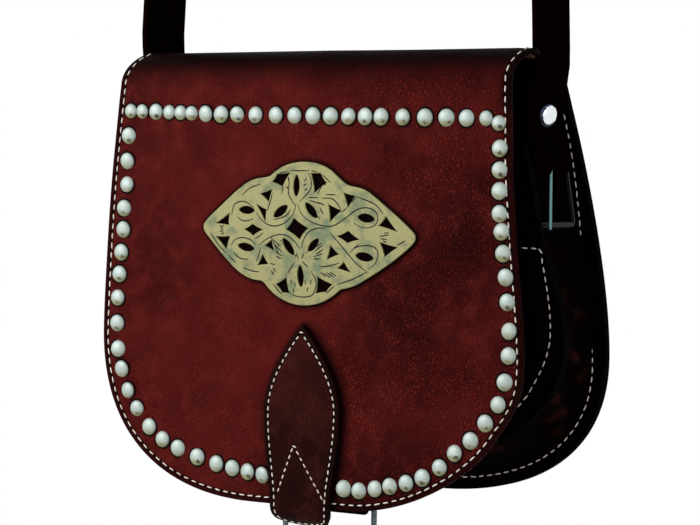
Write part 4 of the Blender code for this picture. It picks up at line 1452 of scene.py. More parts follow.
TAB_V = ((-13.1, -122.0), (-3.8, -97.5), (14.0, -124.0))
STUD_ROW_FROM = -114.4
STUD_ROW_GAPS = (7.7, 9.3, 8.9, 7.6, 7.2, 9.1, 10, 10.4, 11.8, 12.9, 11.9, 11.5, 10.9, 11, 10.2, 9.7, 13.1, 13.3, 12.7,
                 11.7, 11.3)
STUD_ROW_Z = ((-114.4, 77.3), (-90, 77), (-60, 76.2), (107.8, 76))
STUD_LEFT = ((-115.5, 63.8), (-116.2, 50), (-116.1, 37.3), (-117.8, 24.2), (-118.2, 12.5), (-119.5, 0), (-120.6, -12),
             (-121.5, -25), (-121.5, -39), (-120.4, -53), (-117.8, -64), (-113.3, -75.5), (-106.8, -85), (-98.4, -94.4),
             (-89.3, -100.7), (-78.9, -104.8), (-66.1, -108.7), (-53.6, -111.4), (-43.2, -113), (-33.4, -114.2),
             (-23.9, -115.3))
STUD_RIGHT = ((115.2, 73.7), (116.1, 61), (116.4, 50), (116.6, 39.5), (117, 28), (118.4, 19), (119.6, 8), (121.3, -4),
              (122.5, -16.5), (123.8, -31), (123.8, -43.5), (122.1, -57), (118.6, -68.5), (111.4, -78.5), (103, -88),
              (93.7, -95), (85.1, -103), (75, -109), (65.3, -112.6), (55.5, -115), (46.4, -117), (36.7, -118.8),
              (27.4, -118.4))


@dataclass
class Flap(SubAssembly):
    """The flap with its studs, stitches, lining, tab and plate.

    Seams are given by their distance from the cut edge; painted shade blackens the leather under and round the plate,
    beside the tab as its cast shadow, with more on the tab's right, over the fold and in the upper right corner.
    """

    leather: FlapPanel = field(default_factory=lambda: FlapPanel(2.4 * MM, 150, 220))
    lining: FlapPanel = field(default_factory=lambda: FlapPanel(1.2 * MM, 60, 96, depth=2.7 * MM,
                                                               edge_inset=3 * MM))
    tab: TabPanel = field(default_factory=lambda: TabPanel(2.4 * MM, 26, 90))
    plate: "Plate" = field(default_factory=lambda: Plate())
    stud_radius: float = 4.6 * MM
    stud_least: float = 4.0 * MM
    stud_height: float = 1.6 * MM
    painted_shadow_share: float = 1.2
    seam_in: float = 3.1 * MM
    tab_seam_in: float = 2.7 * MM
    # How far the painted shadow reaches round the plate, and beside the tab from its left to its right.
    painted_shadow_round_plate: float = 3.2 * MM
    painted_shadow_beside_tab: tuple[float, float] = (3.5 * MM, 8 * MM)

    def stud_spots(self) -> Array:
        """One uneven row across the top and one down each side to the tab.

        Returns:
            Flat places as rows.
        """
        x = STUD_ROW_FROM + np.concatenate([[0.0], np.cumsum(STUD_ROW_GAPS)])
        row = np.column_stack([x, np.interp(x, *np.array(STUD_ROW_Z).T)])
        return np.vstack([row, STUD_LEFT, STUD_RIGHT]) * MM

    def build_studs(self) -> None:
        """Low domes pressed against the leather, each on a near-black disc of painted shadow round its foot.

        A dome is half the way to its nearest neighbour wide, where they crowd.
        """
        deselect()
        bpy.ops.mesh.primitive_uv_sphere_add(segments=20, ring_count=10, radius=1.0)
        master = bpy.context.object
        bpy.ops.object.mode_set(mode="EDIT")
        bpy.ops.mesh.select_all(action="SELECT")
        bpy.ops.mesh.bisect(plane_co=(0, 0, -0.12), plane_no=(0, 0, 1), clear_inner=True, use_fill=True)
        bpy.ops.object.mode_set(mode="OBJECT")
        spots = self.stud_spots()
        points, normals = self.leather.on(spots)
        chance = np.random.default_rng(SEED)
        gaps = np.linalg.norm(spots[:, None] - spots, axis=2) + np.eye(len(spots))
        normals = normals + chance.normal(0, 0.06, normals.shape)
        normals /= np.linalg.norm(normals, axis=1)[:, None]
        side = np.cross(np.array((0.0, 0.0, 1.0)), normals)
        side /= np.linalg.norm(side, axis=1)[:, None]
        up = np.cross(normals, side)
        radius = self.stud_radius * chance.uniform(0.96, 1.03, (len(points), 1))
        radius = np.clip(gaps.min(1)[:, None] / 2, self.stud_least, radius)
        studs = scatter("flap_studs", master, points + normals * 0.1 * MM,
                        np.stack([side * radius, up * radius, normals * self.stud_height], axis=1))
        smooth(studs, 50.0)
        self.fit(studs, Body.FLAP, Slot.NICKEL, (), "stud")
        # A near-black disc under each stud paints its contact shadow on the leather.
        deselect()
        bpy.ops.mesh.primitive_circle_add(vertices=24, radius=1.0, fill_type="NGON")
        ring = radius * self.painted_shadow_share
        rings = scatter("stud_painted_shadows", bpy.context.object, points + normals * 0.07 * MM,
                        np.stack([side * ring, up * ring, normals * self.stud_height], axis=1))
        self.fit(rings, Body.FLAP, None, (), "ring")

    def dirt_and_painted_shade(self, flat: Array) -> Array:
        """How black the painted shade makes the flap at flat places: under and round the plate, the tab's shadow beside
        it, the fold and the upper right corner.

        Args:
            flat: flat points of the flap.

        Returns:
            0 for unshaded leather, 1 for black.
        """
        # Painted shadow under the plate, seen through its holes, fading out round its edge.
        plate = self.plate.placed(self.plate.outline())
        near = 1.0 - ease(distance_to(flat, closed(plate)) / self.painted_shadow_round_plate)
        under = np.where(inside(flat, plate), 1.0, near)
        # Painted shadow cast by the tab, wider on its right.
        half = self.tab.half()
        leaf = np.vstack([half, (half * (-1, 1))[::-1]]) + (self.tab.centre_x, 0.0)
        right = ease((flat[:, 0] - self.tab.centre_x) / (10 * MM))
        reach = blend(*self.painted_shadow_beside_tab, right)
        beside = 1.0 - ease(distance_to(flat, closed(leaf)) / reach)
        # Painted shade over the top fold and in the upper right corner.
        fold = ease((flat[:, 1] - 87 * MM) / (22 * MM)) * 0.98
        corner = ease((flat[:, 0] - 112 * MM) / (6 * MM)) * ease((flat[:, 1] - 70 * MM) / (20 * MM)) * 0.8
        fold = np.maximum(fold, corner)
        return np.clip(np.maximum.reduce([under, beside * 0.9, fold]), 0.0, 1.0)

    def build(self) -> None:
        """Build every piece that turns with the flap."""
        # The flap's stored mask holds the painted shade.
        flap = self.leather.lay("flap_leather", {"dirt_and_painted_shade": self.dirt_and_painted_shade})
        thicken(flap, self.leather.thickness)
        self.fit(flap, Body.FLAP, Slot.OXBLOOD, ["flap"], "flap", *LEATHER_SIDES)
        lining = self.lining.lay("flap_lining_leather")
        thicken(lining, self.lining.thickness, roll=0.0004)
        self.fit(lining, Body.FLAP, Slot.SUEDE, ["flap_lining"], "flesh", "flesh", "cut_edge")
        self.build_studs()
        line = self.leather.seam(self.seam_in)
        self.fit(Thread().sew("flap_stitches", *self.leather.on(line[4:-4])), Body.FLAP, None, (), "thread")
        self.build_tab()
        self.fit(self.plate.blank(), Body.FLAP, Slot.BRASS, ["ornament_plate"], "brass")
        self.fit(self.plate.engraving(), Body.FLAP, None, (), "brass_ink")

    def build_tab(self) -> None:
        """The stitched leaf."""
        tab = self.tab.lay("closure_tab_leather")
        thicken(tab, self.tab.thickness, roll=0.0009)
        self.fit(tab, Body.FLAP, Slot.DARK, ["closure_tab"], "tab", *LEATHER_SIDES)
        thread = Thread(pitch=3.9 * MM, share=0.62, radius=0.42 * MM)
        right = inset(self.tab.half(), self.tab_seam_in)
        right = right[(right[:, 0] > 0) & (right[:, 1] > self.tab.curl_z - 14 * MM)]
        line = np.vstack([right[::-1], right * (-1, 1)])
        self.fit(thread.sew("tab_stitches", *self.tab.on(line)), Body.FLAP, None, (), "thread")
        line = polyline(TAB_V, 12)
        self.fit(thread.sew("tab_v_stitches", *self.tab.on(line)), Body.FLAP, None, (), "thread")


PLATE_LENSES = ((-38.2, 10.5, 10.2, 4.3, 0), (37.7, 9.7, 10.7, 4.7, -4), (-38.6, -9.7, 10.7, 4.3, -8),
    (36.8, -10.9, 11.2, 4.7, -6), (-16.3, 10.8, 11, 4.5, 36), (3.3, 12.2, 10.8, 4.5, -46),
    (-11.2, -8, 11.4, 4.3, -50), (4.7, -6.3, 9.7, 4, 46), (-6.2, 25, 11.8, 3.9, 88), (-3.4, -23.4, 11.8, 4.1, -86))
PLATE_CUTS = (((-21.9, 26.4), (-18.6, 30.9), (-10.2, 32), (-15.2, 24.2)), ((3.1, 32.3), (9, 32.6), (13, 27.3),
    (5.3, 21.4)), ((-29.3, 19.9), (-21.7, 22.5), (-23.9, 15.5)), ((-31.9, 14.1), (-25.4, 11.3), (-26, 4.6)),
    ((14.2, 16), (22.4, 13), (15.2, 6.5)), ((23.6, 22.6), (31, 21.2), (26.4, 14.6)), ((-58.4, 2.3), (-49.4, 8.4),
    (-50, 1.8)), ((-58.4, -4.9), (-49.1, -4.3), (-51.5, -11.6)), ((50, 11.3), (45.5, 6.1), (56.9, 3.4)),
    ((46.3, -2.6), (57.1, -4.8), (49.3, -10.3)), ((-26.5, -8.2), (-22.1, -4.8), (-20.2, -10.9)), ((-27.8, -12.7),
    (-31, -19.1), (-24.1, -18.2)), ((15.5, -5.7), (20.8, -10.4), (13.3, -13.7)), ((23.9, -14.2), (20, -17.9),
    (28.2, -19.7)), ((-19.1, -28.7), (-12.4, -24.4), (-10.5, -33.2), (-14.8, -33.1)), ((7.2, -23), (16.9, -26.7),
    (12.9, -31), (6.4, -32.2)), ((-12.9, 1.3), (-7.9, 7.7), (1.4, 2.6), (-4, -3.8)), ((-39.8, 0), (-34.5, 3.1),
    (-27.8, 0.4), (-34, -3.2)), ((19.6, -0.8), (26.7, 2.4), (33.6, -1.9), (26.2, -4.1)))
PLATE_LINES = (((-31.7, 9.6), (-29.3, 6.1), (-25.6, 3.5), (-20.9, 2.4), (-15.4, 3.5), (-10.7, 6.6), (-7.4, 10.7),
    (-6.3, 15.5)), ((-4.9, 14.8), (-3.7, 10.9), (-0.9, 8.2), (3.3, 5.8), (8.8, 4.5), (15.4, 3.9), (20, 5.7),
    (25.6, 9.5), (31.2, 13.7), (36.8, 15.5), (42.4, 14.6), (45.3, 11.6), (44.7, 6.8), (39.6, 4.4), (34, 4.7),
    (30.1, 6.9)), ((-30.3, -8.5), (-26.5, -5.2), (-20.9, -2.6), (-15.4, -1.3), (-10.2, -2.7), (-6.1, -5.8),
    (-3.8, -9)), ((-2.8, -8.3), (-1.6, -3.5), (2.1, 1.3), (7.9, 3.1), (13, 3)), ((15.4, 0.7), (20.5, -3.9),
    (26.5, -9.8), (32.1, -15.1), (38.8, -18.9)), ((-48.2, -9.4), (-46.8, -6.3), (-41.4, -4.3), (-35.8, -5.2),
    (-32.3, -8)), ((-46.8, -13.2), (-42.4, -16.3), (-36.8, -16.3)), ((-48, 7.2), (-47, 12.8), (-43.3, 15),
    (-38.6, 15.2), (-33.6, 12)), ((-44.2, 6.5), (-40.5, 3.9), (-33.8, 5.8)), ((27.7, -9.1), (31.2, -6),
    (37.7, -4.6), (43.3, -5.2), (45.7, -8.1), (44.2, -13.9), (39.4, -17.3)), ((-11.5, 30.4), (-10.5, 26.3),
    (-11.6, 21.6), (-9.8, 17.7), (-7, 14.5)), ((1.6, 32.4), (3.4, 28.6), (3.3, 23.7), (0.5, 20.5), (-4, 16.8)),
    ((-21.7, 20.1), (-22.6, 16.3), (-24.9, 10.7)), ((1.2, 19), (7.9, 19.2)), ((2.3, 17.5), (10, 15.8)), ((10, 19),
    (17.4, 19.6), (22.3, 13.5)), ((12.4, 21.1), (18.9, 21.2)), ((8.7, 14), (11.1, 10.3)), ((7.5, 16.8),
    (11.8, 15.4)), ((-56.1, 1.5), (-53.7, 0.2)), ((-55.6, -0.2), (-53.4, -0.9)), ((-56.1, -2), (-53.4, -1.7)),
    ((-54.5, 2.4), (-53.2, 0.7)), ((-55, -3.5), (-52.8, -2.5)), ((45.9, 0.4), (51.9, 1.6)), ((46.8, -0.7),
    (50.9, -1)), ((48.1, -1.9), (50.6, -2.5)), ((48.9, 2.3), (51.9, 2.7)), ((-22.1, -3.6), (-17.4, -12.2)),
    ((-20, -7.2), (-15, -11.3)), ((-19.5, -11.2), (-15.2, -13.2)), ((-20.4, -5.1), (-16.1, -8.3)), ((-19.1, -13.5),
    (-15.7, -14.8)), ((5.9, -9.4), (11.1, -5.8)), ((6.6, -11.1), (11.1, -8.3)), ((4.9, -12.6), (10.9, -10.5)),
    ((4.9, -13.8), (9, -13.5)), ((6.2, -7.8), (10, -4.9)), ((8.7, -17.7), (14.4, -17.2), (21.1, -15.1)),
    ((11.5, -20.8), (15.7, -23.3)), ((13.3, -20.4), (17.8, -22.8)), ((15.4, -20.1), (19.6, -22.4)), ((9.6, -20.5),
    (12.8, -22.9)), ((-12.4, -23.2), (-13.3, -27.5), (-10.9, -32.2), (-6.1, -34.7), (-0.5, -34.6), (4.4, -33.6),
    (6.4, -29.7), (6.8, -24.9), (3.4, -20.5)), ((-7, -16.1), (-9.6, -19.4), (-11.6, -22.8)), ((-2.3, -15.6),
    (1.6, -18.4)), ((-50, -14.8), (-44.8, -18.8)), ((-40.5, -20.8), (-34.7, -22.6), (-29.7, -22.7)), ((19.8, -26.5),
    (29.3, -23.6), (38.8, -18.7)), ((56.9, -3.8), (62.3, -0.9)), ((-41.2, 18.4), (-36.6, 22.6), (-29.1, 25)),
    ((-18.5, 30.9), (-11.8, 32.6)), ((-9.6, 33), (2, 33.4)), ((31, 21), (38.6, 19), (44.4, 16.9), (48.3, 12.4)),
    ((3.3, 33.6), (10, 32), (15.4, 27.6)), ((-61.9, -2.9), (-57.3, -9), (-51.9, -13.6)), ((-20.9, -28.8),
    (-15.4, -33.9)), ((12.9, -31.9), (18.2, -27.4)), ((-11.6, 28.8), (-10.7, 26.8)), ((-1.2, 27.4), (0.5, 29.4)),
    ((-1.6, 25), (0.1, 26.5)), ((-1.2, 22.7), (1, 23.9)), ((-12.6, 24.7), (-11.5, 23)), ((-7, -26.8),
    (-6.6, -29.5)), ((-0.5, -25.3), (-0.1, -27.8)), ((-7.9, -30.4), (-7.4, -32.9)), ((1.4, -29.1), (0.8, -31.7)),
    ((-9.4, -25.7), (-9, -28)), ((3.3, -25.1), (3.4, -27.6)), ((-29.1, -9.3), (-30.3, -14), (-31.8, -17.3)),
    ((-20.9, -19.9), (-19.1, -22.2)), ((-22.1, -21.5), (-20.2, -24)), ((-22.8, -17.6), (-19.8, -18.3)),
    ((33.6, -10), (38.6, -14)), ((22.8, 12.1), (26.5, 15.4), (31.4, 20.4)), ((-14.4, 24.6), (-15.4, 20.6)),
    ((7.2, 20.9), (9.4, 24.9), (12.4, 26.6)), ((-27.5, -1.3), (-30.3, -3.8), (-33.1, -4.7)), ((30.3, -6.5),
    (33.1, -4.8)), ((-6.1, -11.3), (-4.6, -14.1)), ((-1.2, -11.1), (-2.5, -14)), ((-9.8, 12.2), (-11.6, 9.2),
    (-16.3, 7), (-20.9, 6.1)), ((-0.5, 16.6), (5.1, 12.9), (9, 7.5)), ((-16.3, -4.7), (-10.7, -8.4), (-6.1, -13.2)),
    ((0.5, -11), (3.3, -7.7), (8.7, -2.1)))
PLATE_OUTLINE = ((-0.5, 38.3), (7.9, 37.6), (15.4, 34.7), (20.9, 30.2), (26.1, 26.5), (32.1, 26), (37.7, 24.5),
    (43.3, 21.1), (49.8, 16.4), (57.3, 11.2), (63.8, 6.1), (67.5, 3), (68.2, 0.7), (67.3, -2), (61, -7.4),
    (53.5, -13), (45.2, -18.4), (37.7, -22.9), (31.2, -26.6), (25.6, -28.4), (21.9, -29), (18.2, -32.3),
    (12.6, -35.7), (7, -38), (-0.5, -39.3), (-7.9, -39), (-14.4, -37.1), (-20, -34.5), (-24.7, -30.7),
    (-27.7, -27.3), (-33.1, -27.3), (-38.6, -25.9), (-44.2, -23), (-49.8, -18.5), (-56.3, -12.5), (-61.9, -6.8),
    (-65.6, -3.1), (-66.9, -0.4), (-66.4, 2), (-62.8, 5.8), (-56.3, 11.2), (-49.8, 16.8), (-43.3, 22.1),
    (-36.8, 26.3), (-31.2, 28.2), (-23.6, 29.1), (-20, 32.2), (-14.4, 35.5), (-7.9, 37.5))


@dataclass
class Plate:
    """The pierced and engraved brass plate on the flap, drawn in millimetres from its middle."""

    thick: float = 1.2 * MM
    centre: tuple[float, float] = PLATE_MIDDLE
    lie: tuple = ((0.983, -0.0174), (-0.018, 0.978))
    rim: float = 0.34 * MM
    ribbon: float = 0.4 * MM
    ribbon_share: float = 0.15
    edge_clear: float = 0.7 * MM
    hole_clear: float = 0.3 * MM
    cut_bow: float = 0.2

    @property
    def face_y(self) -> float:
        """The plate's outer face."""
        return FORM.flap_face_y - FORM.gap - self.thick

    def outline(self) -> Array:
        """The closed outline."""
        return rounded(np.array(PLATE_OUTLINE) * MM, 2)

    def placed(self, flat: Array) -> Array:
        """Points of the plate, turned and put on the flat flap."""
        return flat @ np.array(self.lie) + self.centre

    def holes(self) -> list[Array]:
        """Every pierced hole: leaf shapes between two arcs, and cuts with sides bowed inwards.

        Returns:
            Closed rings around the plate's middle.
        """
        found = []
        for x, z, long, wide, degrees in PLATE_LENSES:
            turn = math.radians(degrees)
            along = np.array((math.cos(turn), math.sin(turn))) * long / 2
            across = np.array((-math.sin(turn), math.cos(turn))) * wide / 2
            angle = np.linspace(0, 2 * math.pi, 24, endpoint=False)[:, None]
            found.append(((x, z) + along * np.cos(angle) + across * np.sin(angle) * np.abs(np.sin(angle)) ** 0.4) * MM)
        for corners in PLATE_CUTS:
            ring = np.array(corners) * MM
            middle = ring.mean(0)
            sides = []
            for start, end in zip(ring, np.roll(ring, -1, axis=0)):
                bow = blend((start + end) / 2, middle, self.cut_bow)
                sides.append(bezier(start, blend(start, bow, 0.66), blend(end, bow, 0.66), end, 6)[:-1])
            found.append(np.vstack(sides))
        return found

    def blank(self) -> bpy.types.Object:
        """Fill the outline round its holes, round the rims and lay it on the flap.

        Returns:
            The plate.
        """
        curve = bpy.data.curves.new("plate_blank", "CURVE")
        curve.dimensions = "2D"
        curve.fill_mode = "BOTH"
        curve.extrude = self.thick / 2 - self.rim
        curve.bevel_depth = self.rim
        curve.bevel_resolution = 2
        curve.offset = -self.rim
        for ring in [self.outline()] + self.holes():
            spline = curve.splines.new("POLY")
            spline.points.add(len(ring) - 1)
            for place, (x, z) in zip(spline.points, self.placed(ring)):
                place.co = (x, z, 0.0, 1.0)
            spline.use_cyclic_u = True
        piece = as_mesh("ornament_plate_brass", curve)
        bm = bmesh.new()
        bm.from_mesh(piece.data)
        bmesh.ops.remove_doubles(bm, verts=bm.verts[:], dist=0.005 * MM)
        bmesh.ops.recalc_face_normals(bm, faces=bm.faces[:])
        bmesh.ops.transform(bm, verts=bm.verts[:], matrix=Matrix.Translation(
            (0.0, self.face_y + self.thick / 2, -HANG)) @ Matrix.Rotation(math.pi / 2, 4, "X"))
        bm.to_mesh(piece.data)
        bm.free()
        smooth(piece, 40.0)
        apply(piece, "WEIGHTED_NORMAL", keep_sharp=True)
        return piece

    def engraving(self) -> bpy.types.Object:
        """Thin dark ribbons along the engraver's lines, kept clear of the holes and the rim.

        Returns:
            The ribbons, in one piece.
        """
        edge = self.outline()
        rings = [closed(hole) for hole in self.holes()]
        kept = []
        for corners in PLATE_LINES:
            line = resample(polyline(corners, 6) if len(corners) == 2 else curved(corners), 0.5 * MM)
            clear = inside(line, edge) & (distance_to(line, closed(edge)) > self.edge_clear)
            for ring in rings:
                clear &= ~inside(line, ring) & (distance_to(line, ring) > self.hole_clear)
            ends = np.flatnonzero(np.diff(np.concatenate([[0], clear.astype(int), [0]])))
            kept += [self.placed(line[start:end]) for start, end in zip(ends[::2], ends[1::2]) if end - start > 2]
        routes = [in_frame(line[:, 0], np.array(self.face_y), line[:, 1]) for line in kept]
        piece = tube("plate_engraving", routes, self.ribbon, sides=1, tapered=True)
        flat = coordinates(piece)
        flat[:, 1] = self.face_y + (flat[:, 1] - self.face_y) * self.ribbon_share
        move_to(piece, flat)
        return piece


@dataclass
class Satchel(SubAssembly):
    """The body of the bag: back, front, pocket and gusset, with their seams."""

    back: BackPanel = field(default_factory=lambda: BackPanel(2.4 * MM, 90, 150))
    front: FrontPanel = field(default_factory=lambda: FrontPanel(2.0 * MM, 84, 90))
    pocket: PocketPanel = field(default_factory=lambda: PocketPanel(FORM.pocket_leather, 90, 80))
    gusset: GussetForm = field(default_factory=GussetForm)
    back_seam: tuple[float, float] = (6.6 * MM, 84 * MM)
    pocket_seam: tuple[float, float] = (4.8 * MM, 12 * MM)
    front_seam: tuple[float, float] = (6.0 * MM, 57 * MM)
    pocket_hook: float = 9 * MM
    thread: Thread = field(default_factory=lambda: Thread(pitch=5.2 * MM, radius=0.45 * MM))
    back_drift: float = 3.2 * MM
    back_draw: float = 2.4 * MM
    slip_top: float = 3.5 * MM
    slip_low: float = -7 * MM

    def build(self) -> None:
        """Build every sewn panel."""
        for panel, name, node in ((self.back, "back_leather", "back_panel"),
                                  (self.front, "front_leather", "front_panel"),
                                  (self.pocket, "pocket_leather", "front_pocket")):
            piece = panel.lay(name)
            if panel is self.back:
                piece.data.flip_normals()
            thicken(piece, panel.thickness)
            self.fit(piece, Body.BAG, Slot.DARK, [node], "body", *LEATHER_SIDES)
        self.fit(self.gusset.lay(), Body.BAG, Slot.DARK, ["gusset"], "body", *LEATHER_SIDES)
        self.sew_seams()

    def sew_seams(self) -> None:
        """Cream stitches along both gusset seams, on both faces of each.

        Each seam has its distance from the edge and its top; the worn bag's seams stray from their edges.
        """
        thread = self.thread
        line = self.back.seam(*self.back_seam)
        out, z = np.sign(line) * (1, 0), line[:, 1:]
        line = line + out * self.back_drift * ease((z - 5 * MM) / (80 * MM))
        line = line - out * self.back_draw * np.exp(-((z + 14 * MM) / (42 * MM)) ** 2)
        aft = self.gusset.seam_y(line[:, 1])[1]
        ahead = np.tile((0.0, -1.0, 0.0), (len(line), 1))
        self.stitch(thread, "back_seam_front_stitches", in_frame(line[:, 0], aft, line[:, 1]), ahead)
        self.stitch(thread, "back_seam_stitches", *self.back.on(line))
        line = self.pocket.seam(*self.pocket_seam)
        slip = np.clip(self.slip_top + 0.15 * (line[:, 1] - 10 * MM), self.slip_low, self.slip_top)
        line[:, 0] += slip * ease((line[:, 0] - 70 * MM) / (40 * MM))
        turn = np.array((self.pocket_hook, 0.0))
        line = np.vstack([line[0] + turn, line, line[-1] - turn])
        self.stitch(thread, "pocket_seam_stitches", *self.pocket.on(line))
        line = self.front.seam(*self.front_seam)
        fore = self.gusset.seam_y(line[:, 1])[0]
        self.stitch(thread, "front_seam_back_stitches", in_frame(line[:, 0], fore, line[:, 1]),
                    np.tile((0.0, 1.0, 0.0), (len(line), 1)))

    def stitch(self, thread: Thread, name: str, points: Array, normals: Array) -> None:
        """Sew one line and seat it on the bag."""
        self.fit(thread.sew(name, points, normals), Body.BAG, None, (), "thread")


@dataclass
class ShoulderStrap(SubAssembly):
    """The long strap with its rivets, buckle bar and buckle."""

    half_span: float = 116.9 * MM
    y: float = 0.2 * MM
    leaves: float = 105 * MM
    thickness: float = 3.2 * MM
    width: float = 37 * MM
    left_end: float = 60 * MM
    bar: tuple[float, float] = (118.4 * MM, 51.4 * MM)
    right_back: float = 8 * MM
    left_away: float = 1.8 * MM
    arm_pull: float = 250 * MM
    below_rivet: float = 6 * MM
    splay: float = 8 * MM
    turned_back: float = 12 * MM
    prong_slant: float = -10 * MM
    crown_pull: float = 60 * MM
    bar_shift: float = 1.2 * MM
    lean: float = math.radians(10)
    play: float = 1.5 * MM
    rivet_z: float = 78.4 * MM
    cap_profile: tuple = ((0.0, 2.6), (1.7, 2.48), (3.3, 2.1), (4.3, 1.6), (4.9, 1.05), (5.1, 0.75), (5.3, 0.85),
                          (5.65, 0.9), (5.95, 0.7), (6.1, 0.35), (6.1, 0.0), (0.0, 0.0))
    cap_rim_from: float = 5.0 * MM
    slot: float = 24 * MM
    slot_wide: float = 3.4 * MM
    cap_lean: tuple[float, float] = (math.radians(18), math.radians(10))
    cap_lift: float = 0.9 * MM

    def arm(self, side: int) -> Array:
        """From the top of the bag to the crown, on one side.

        Args:
            side: -1 on the left, 1 on the right.

        Returns:
            The route as rows.
        """
        foot = np.array((side * (self.half_span + self.out(side)), self.y, self.leaves))
        pull = foot + np.array((-side * 0.03, 0.0, 1.0)) * self.arm_pull
        crown = np.array((0.0, self.y, HANG + self.thickness / 2))
        route = bezier(foot, pull, crown + (side * self.crown_pull, 0, 0), crown, 90)
        if side > 0:
            rise = ease((route[:, 2] - 90 * MM) / (17 * MM)) * ease(route[:, 0] / self.crown_pull)
            route[:, 1] += self.right_back * rise
        else:
            rise = ease((route[:, 2] - self.leaves) / (14 * MM)) * ease(-route[:, 0] / self.crown_pull)
            route[:, 0] -= self.left_away * rise
        return route

    @staticmethod
    def out(side: int) -> float:
        """How much further out the strap's left end stands."""
        return FORM.left_out if side < 0 else 0.0

    def route(self) -> Array:
        """From the left end over the crown to the fold round the right bar.

        Returns:
            The strap's middle line in the part's frame.
        """
        left, right = self.arm(-1), self.arm(1)
        bar = np.array((self.bar[0], self.y, self.bar[1]))
        radius = 1.6 * MM + FORM.gap + self.thickness / 2
        edge = np.array((self.half_span, self.y, self.rivet_z - self.below_rivet))
        splay = np.array((self.bar[0] + radius, self.y, edge[2] - self.splay))
        swing = bezier(edge, edge - (0, 0, 3.5 * MM), splay + (0, 0, 3.5 * MM), splay, 6)
        start = np.linspace((left[0, 0], self.y, self.left_end), left[0], 14)[:-1]
        down = np.linspace(right[0], edge, 10)[1:-1]
        loop = round_bar(bar, (1.0, 0.0, 0.0), self.thickness, self.turned_back)
        between = np.linspace(splay, loop[0], 5)[1:-1]
        return np.vstack([start, left, right[-2::-1], down, swing, between, loop]) - (0, 0, HANG)

    def build(self) -> None:
        """Build the strap, its slot, rivets and buckle."""
        strap = Strip(self.width, self.thickness, (0.0, 1.0, 0.0), 12).lay("strap_leather", self.route(), self.outward)
        pivot = (self.bar[0], self.y + self.bar_shift, self.bar[1])
        cut_slot(strap, (pivot[0], pivot[1], pivot[2] - HANG), (self.slot, self.slot_wide, self.slot))
        self.fit(strap, Body.BAG, Slot.DARK, ["shoulder_strap"], "strap", "flesh", "strap_edge")
        # The strap buckle's frame is near black, partly its own finish and partly painted shade and dark reflection.
        Buckle(self.finishes, "strap_buckle", pivot, self.width / 2 + self.play,
               Matrix.Rotation(math.pi / 2, 3, "Z") @ Matrix.Rotation(-self.lean, 3, "X"),
               Body.STRAP_FRAME, Body.STRAP_PRONG, slant=self.prong_slant, frame_finish="black_steel_and_painted_shade").build()
        for side, label in ((-1, "left"), (1, "right")):
            self.build_rivet(side, label)
            dress(bpy.data.objects["rivet_burr_" + label], self.finishes.get("steel"))

    @staticmethod
    def outward(centre: Vector) -> Vector:
        """Away from the strap's middle, to the sides and up."""
        return Vector((centre.x, 0.0, centre.z + HANG))

    def build_rivet(self, side: int, label: str) -> None:
        """A bright dome in a dark rim.

        Args:
            side: -1 on the left, 1 on the right.
            label: the side's name.
        """
        deselect()
        bpy.ops.mesh.primitive_uv_sphere_add(segments=36, ring_count=24, radius=1.0)
        cap = bpy.context.object
        cap.name = cap.data.name = f"rivet_{label}_cap"
        ball = coordinates(cap)
        profile = np.array(self.cap_profile) * MM
        steps = run_lengths(profile)
        turned = picked(profile, steps, np.arccos(np.clip(ball[:, 2], -1, 1)) / math.pi * steps[-1])
        round_way = ball[:, :2] / np.maximum(1e-9, np.linalg.norm(ball[:, :2], axis=1))[:, None]
        face = self.half_span + self.out(side) + self.thickness / 2 + FORM.gap
        lean = Matrix.Rotation(-side * self.cap_lean[0], 3, "Z") @ Matrix.Rotation(side * self.cap_lean[1], 3, "Y")
        flat = np.column_stack([side * (turned[:, 1] + self.cap_lift), round_way[:, 0] * turned[:, 0],
                                side * round_way[:, 1] * turned[:, 0]]) @ np.array(lean).T
        move_to(cap, flat + (side * face, self.y, self.rivet_z - HANG))
        smooth(cap, 40.0)
        self.fit(cap, Body.BAG, Slot.NICKEL, ["rivet_" + label], "cap", "cap_rim")
        wide = np.hypot(flat[:, 1], flat[:, 2])
        for part in cap.data.polygons:
            part.material_index = int(wide[list(part.vertices)].mean() > self.cap_rim_from)


def cut_slot(piece: bpy.types.Object, centre: Sequence[float], size: Sequence[float]) -> None:
    """Cut a box-shaped slot out of a piece.

    Args:
        piece: the piece to cut.
        centre: the middle of the slot.
        size: of the cutting box.
    """
    deselect()
    bpy.ops.mesh.primitive_cube_add(size=1.0, location=centre, scale=size)
    cutter = bpy.context.object
    bpy.ops.object.transform_apply(location=True, rotation=True, scale=True)
    apply(piece, "BOOLEAN", object=cutter, operation="DIFFERENCE", solver="EXACT")
    bpy.data.objects.remove(cutter, do_unlink=True)


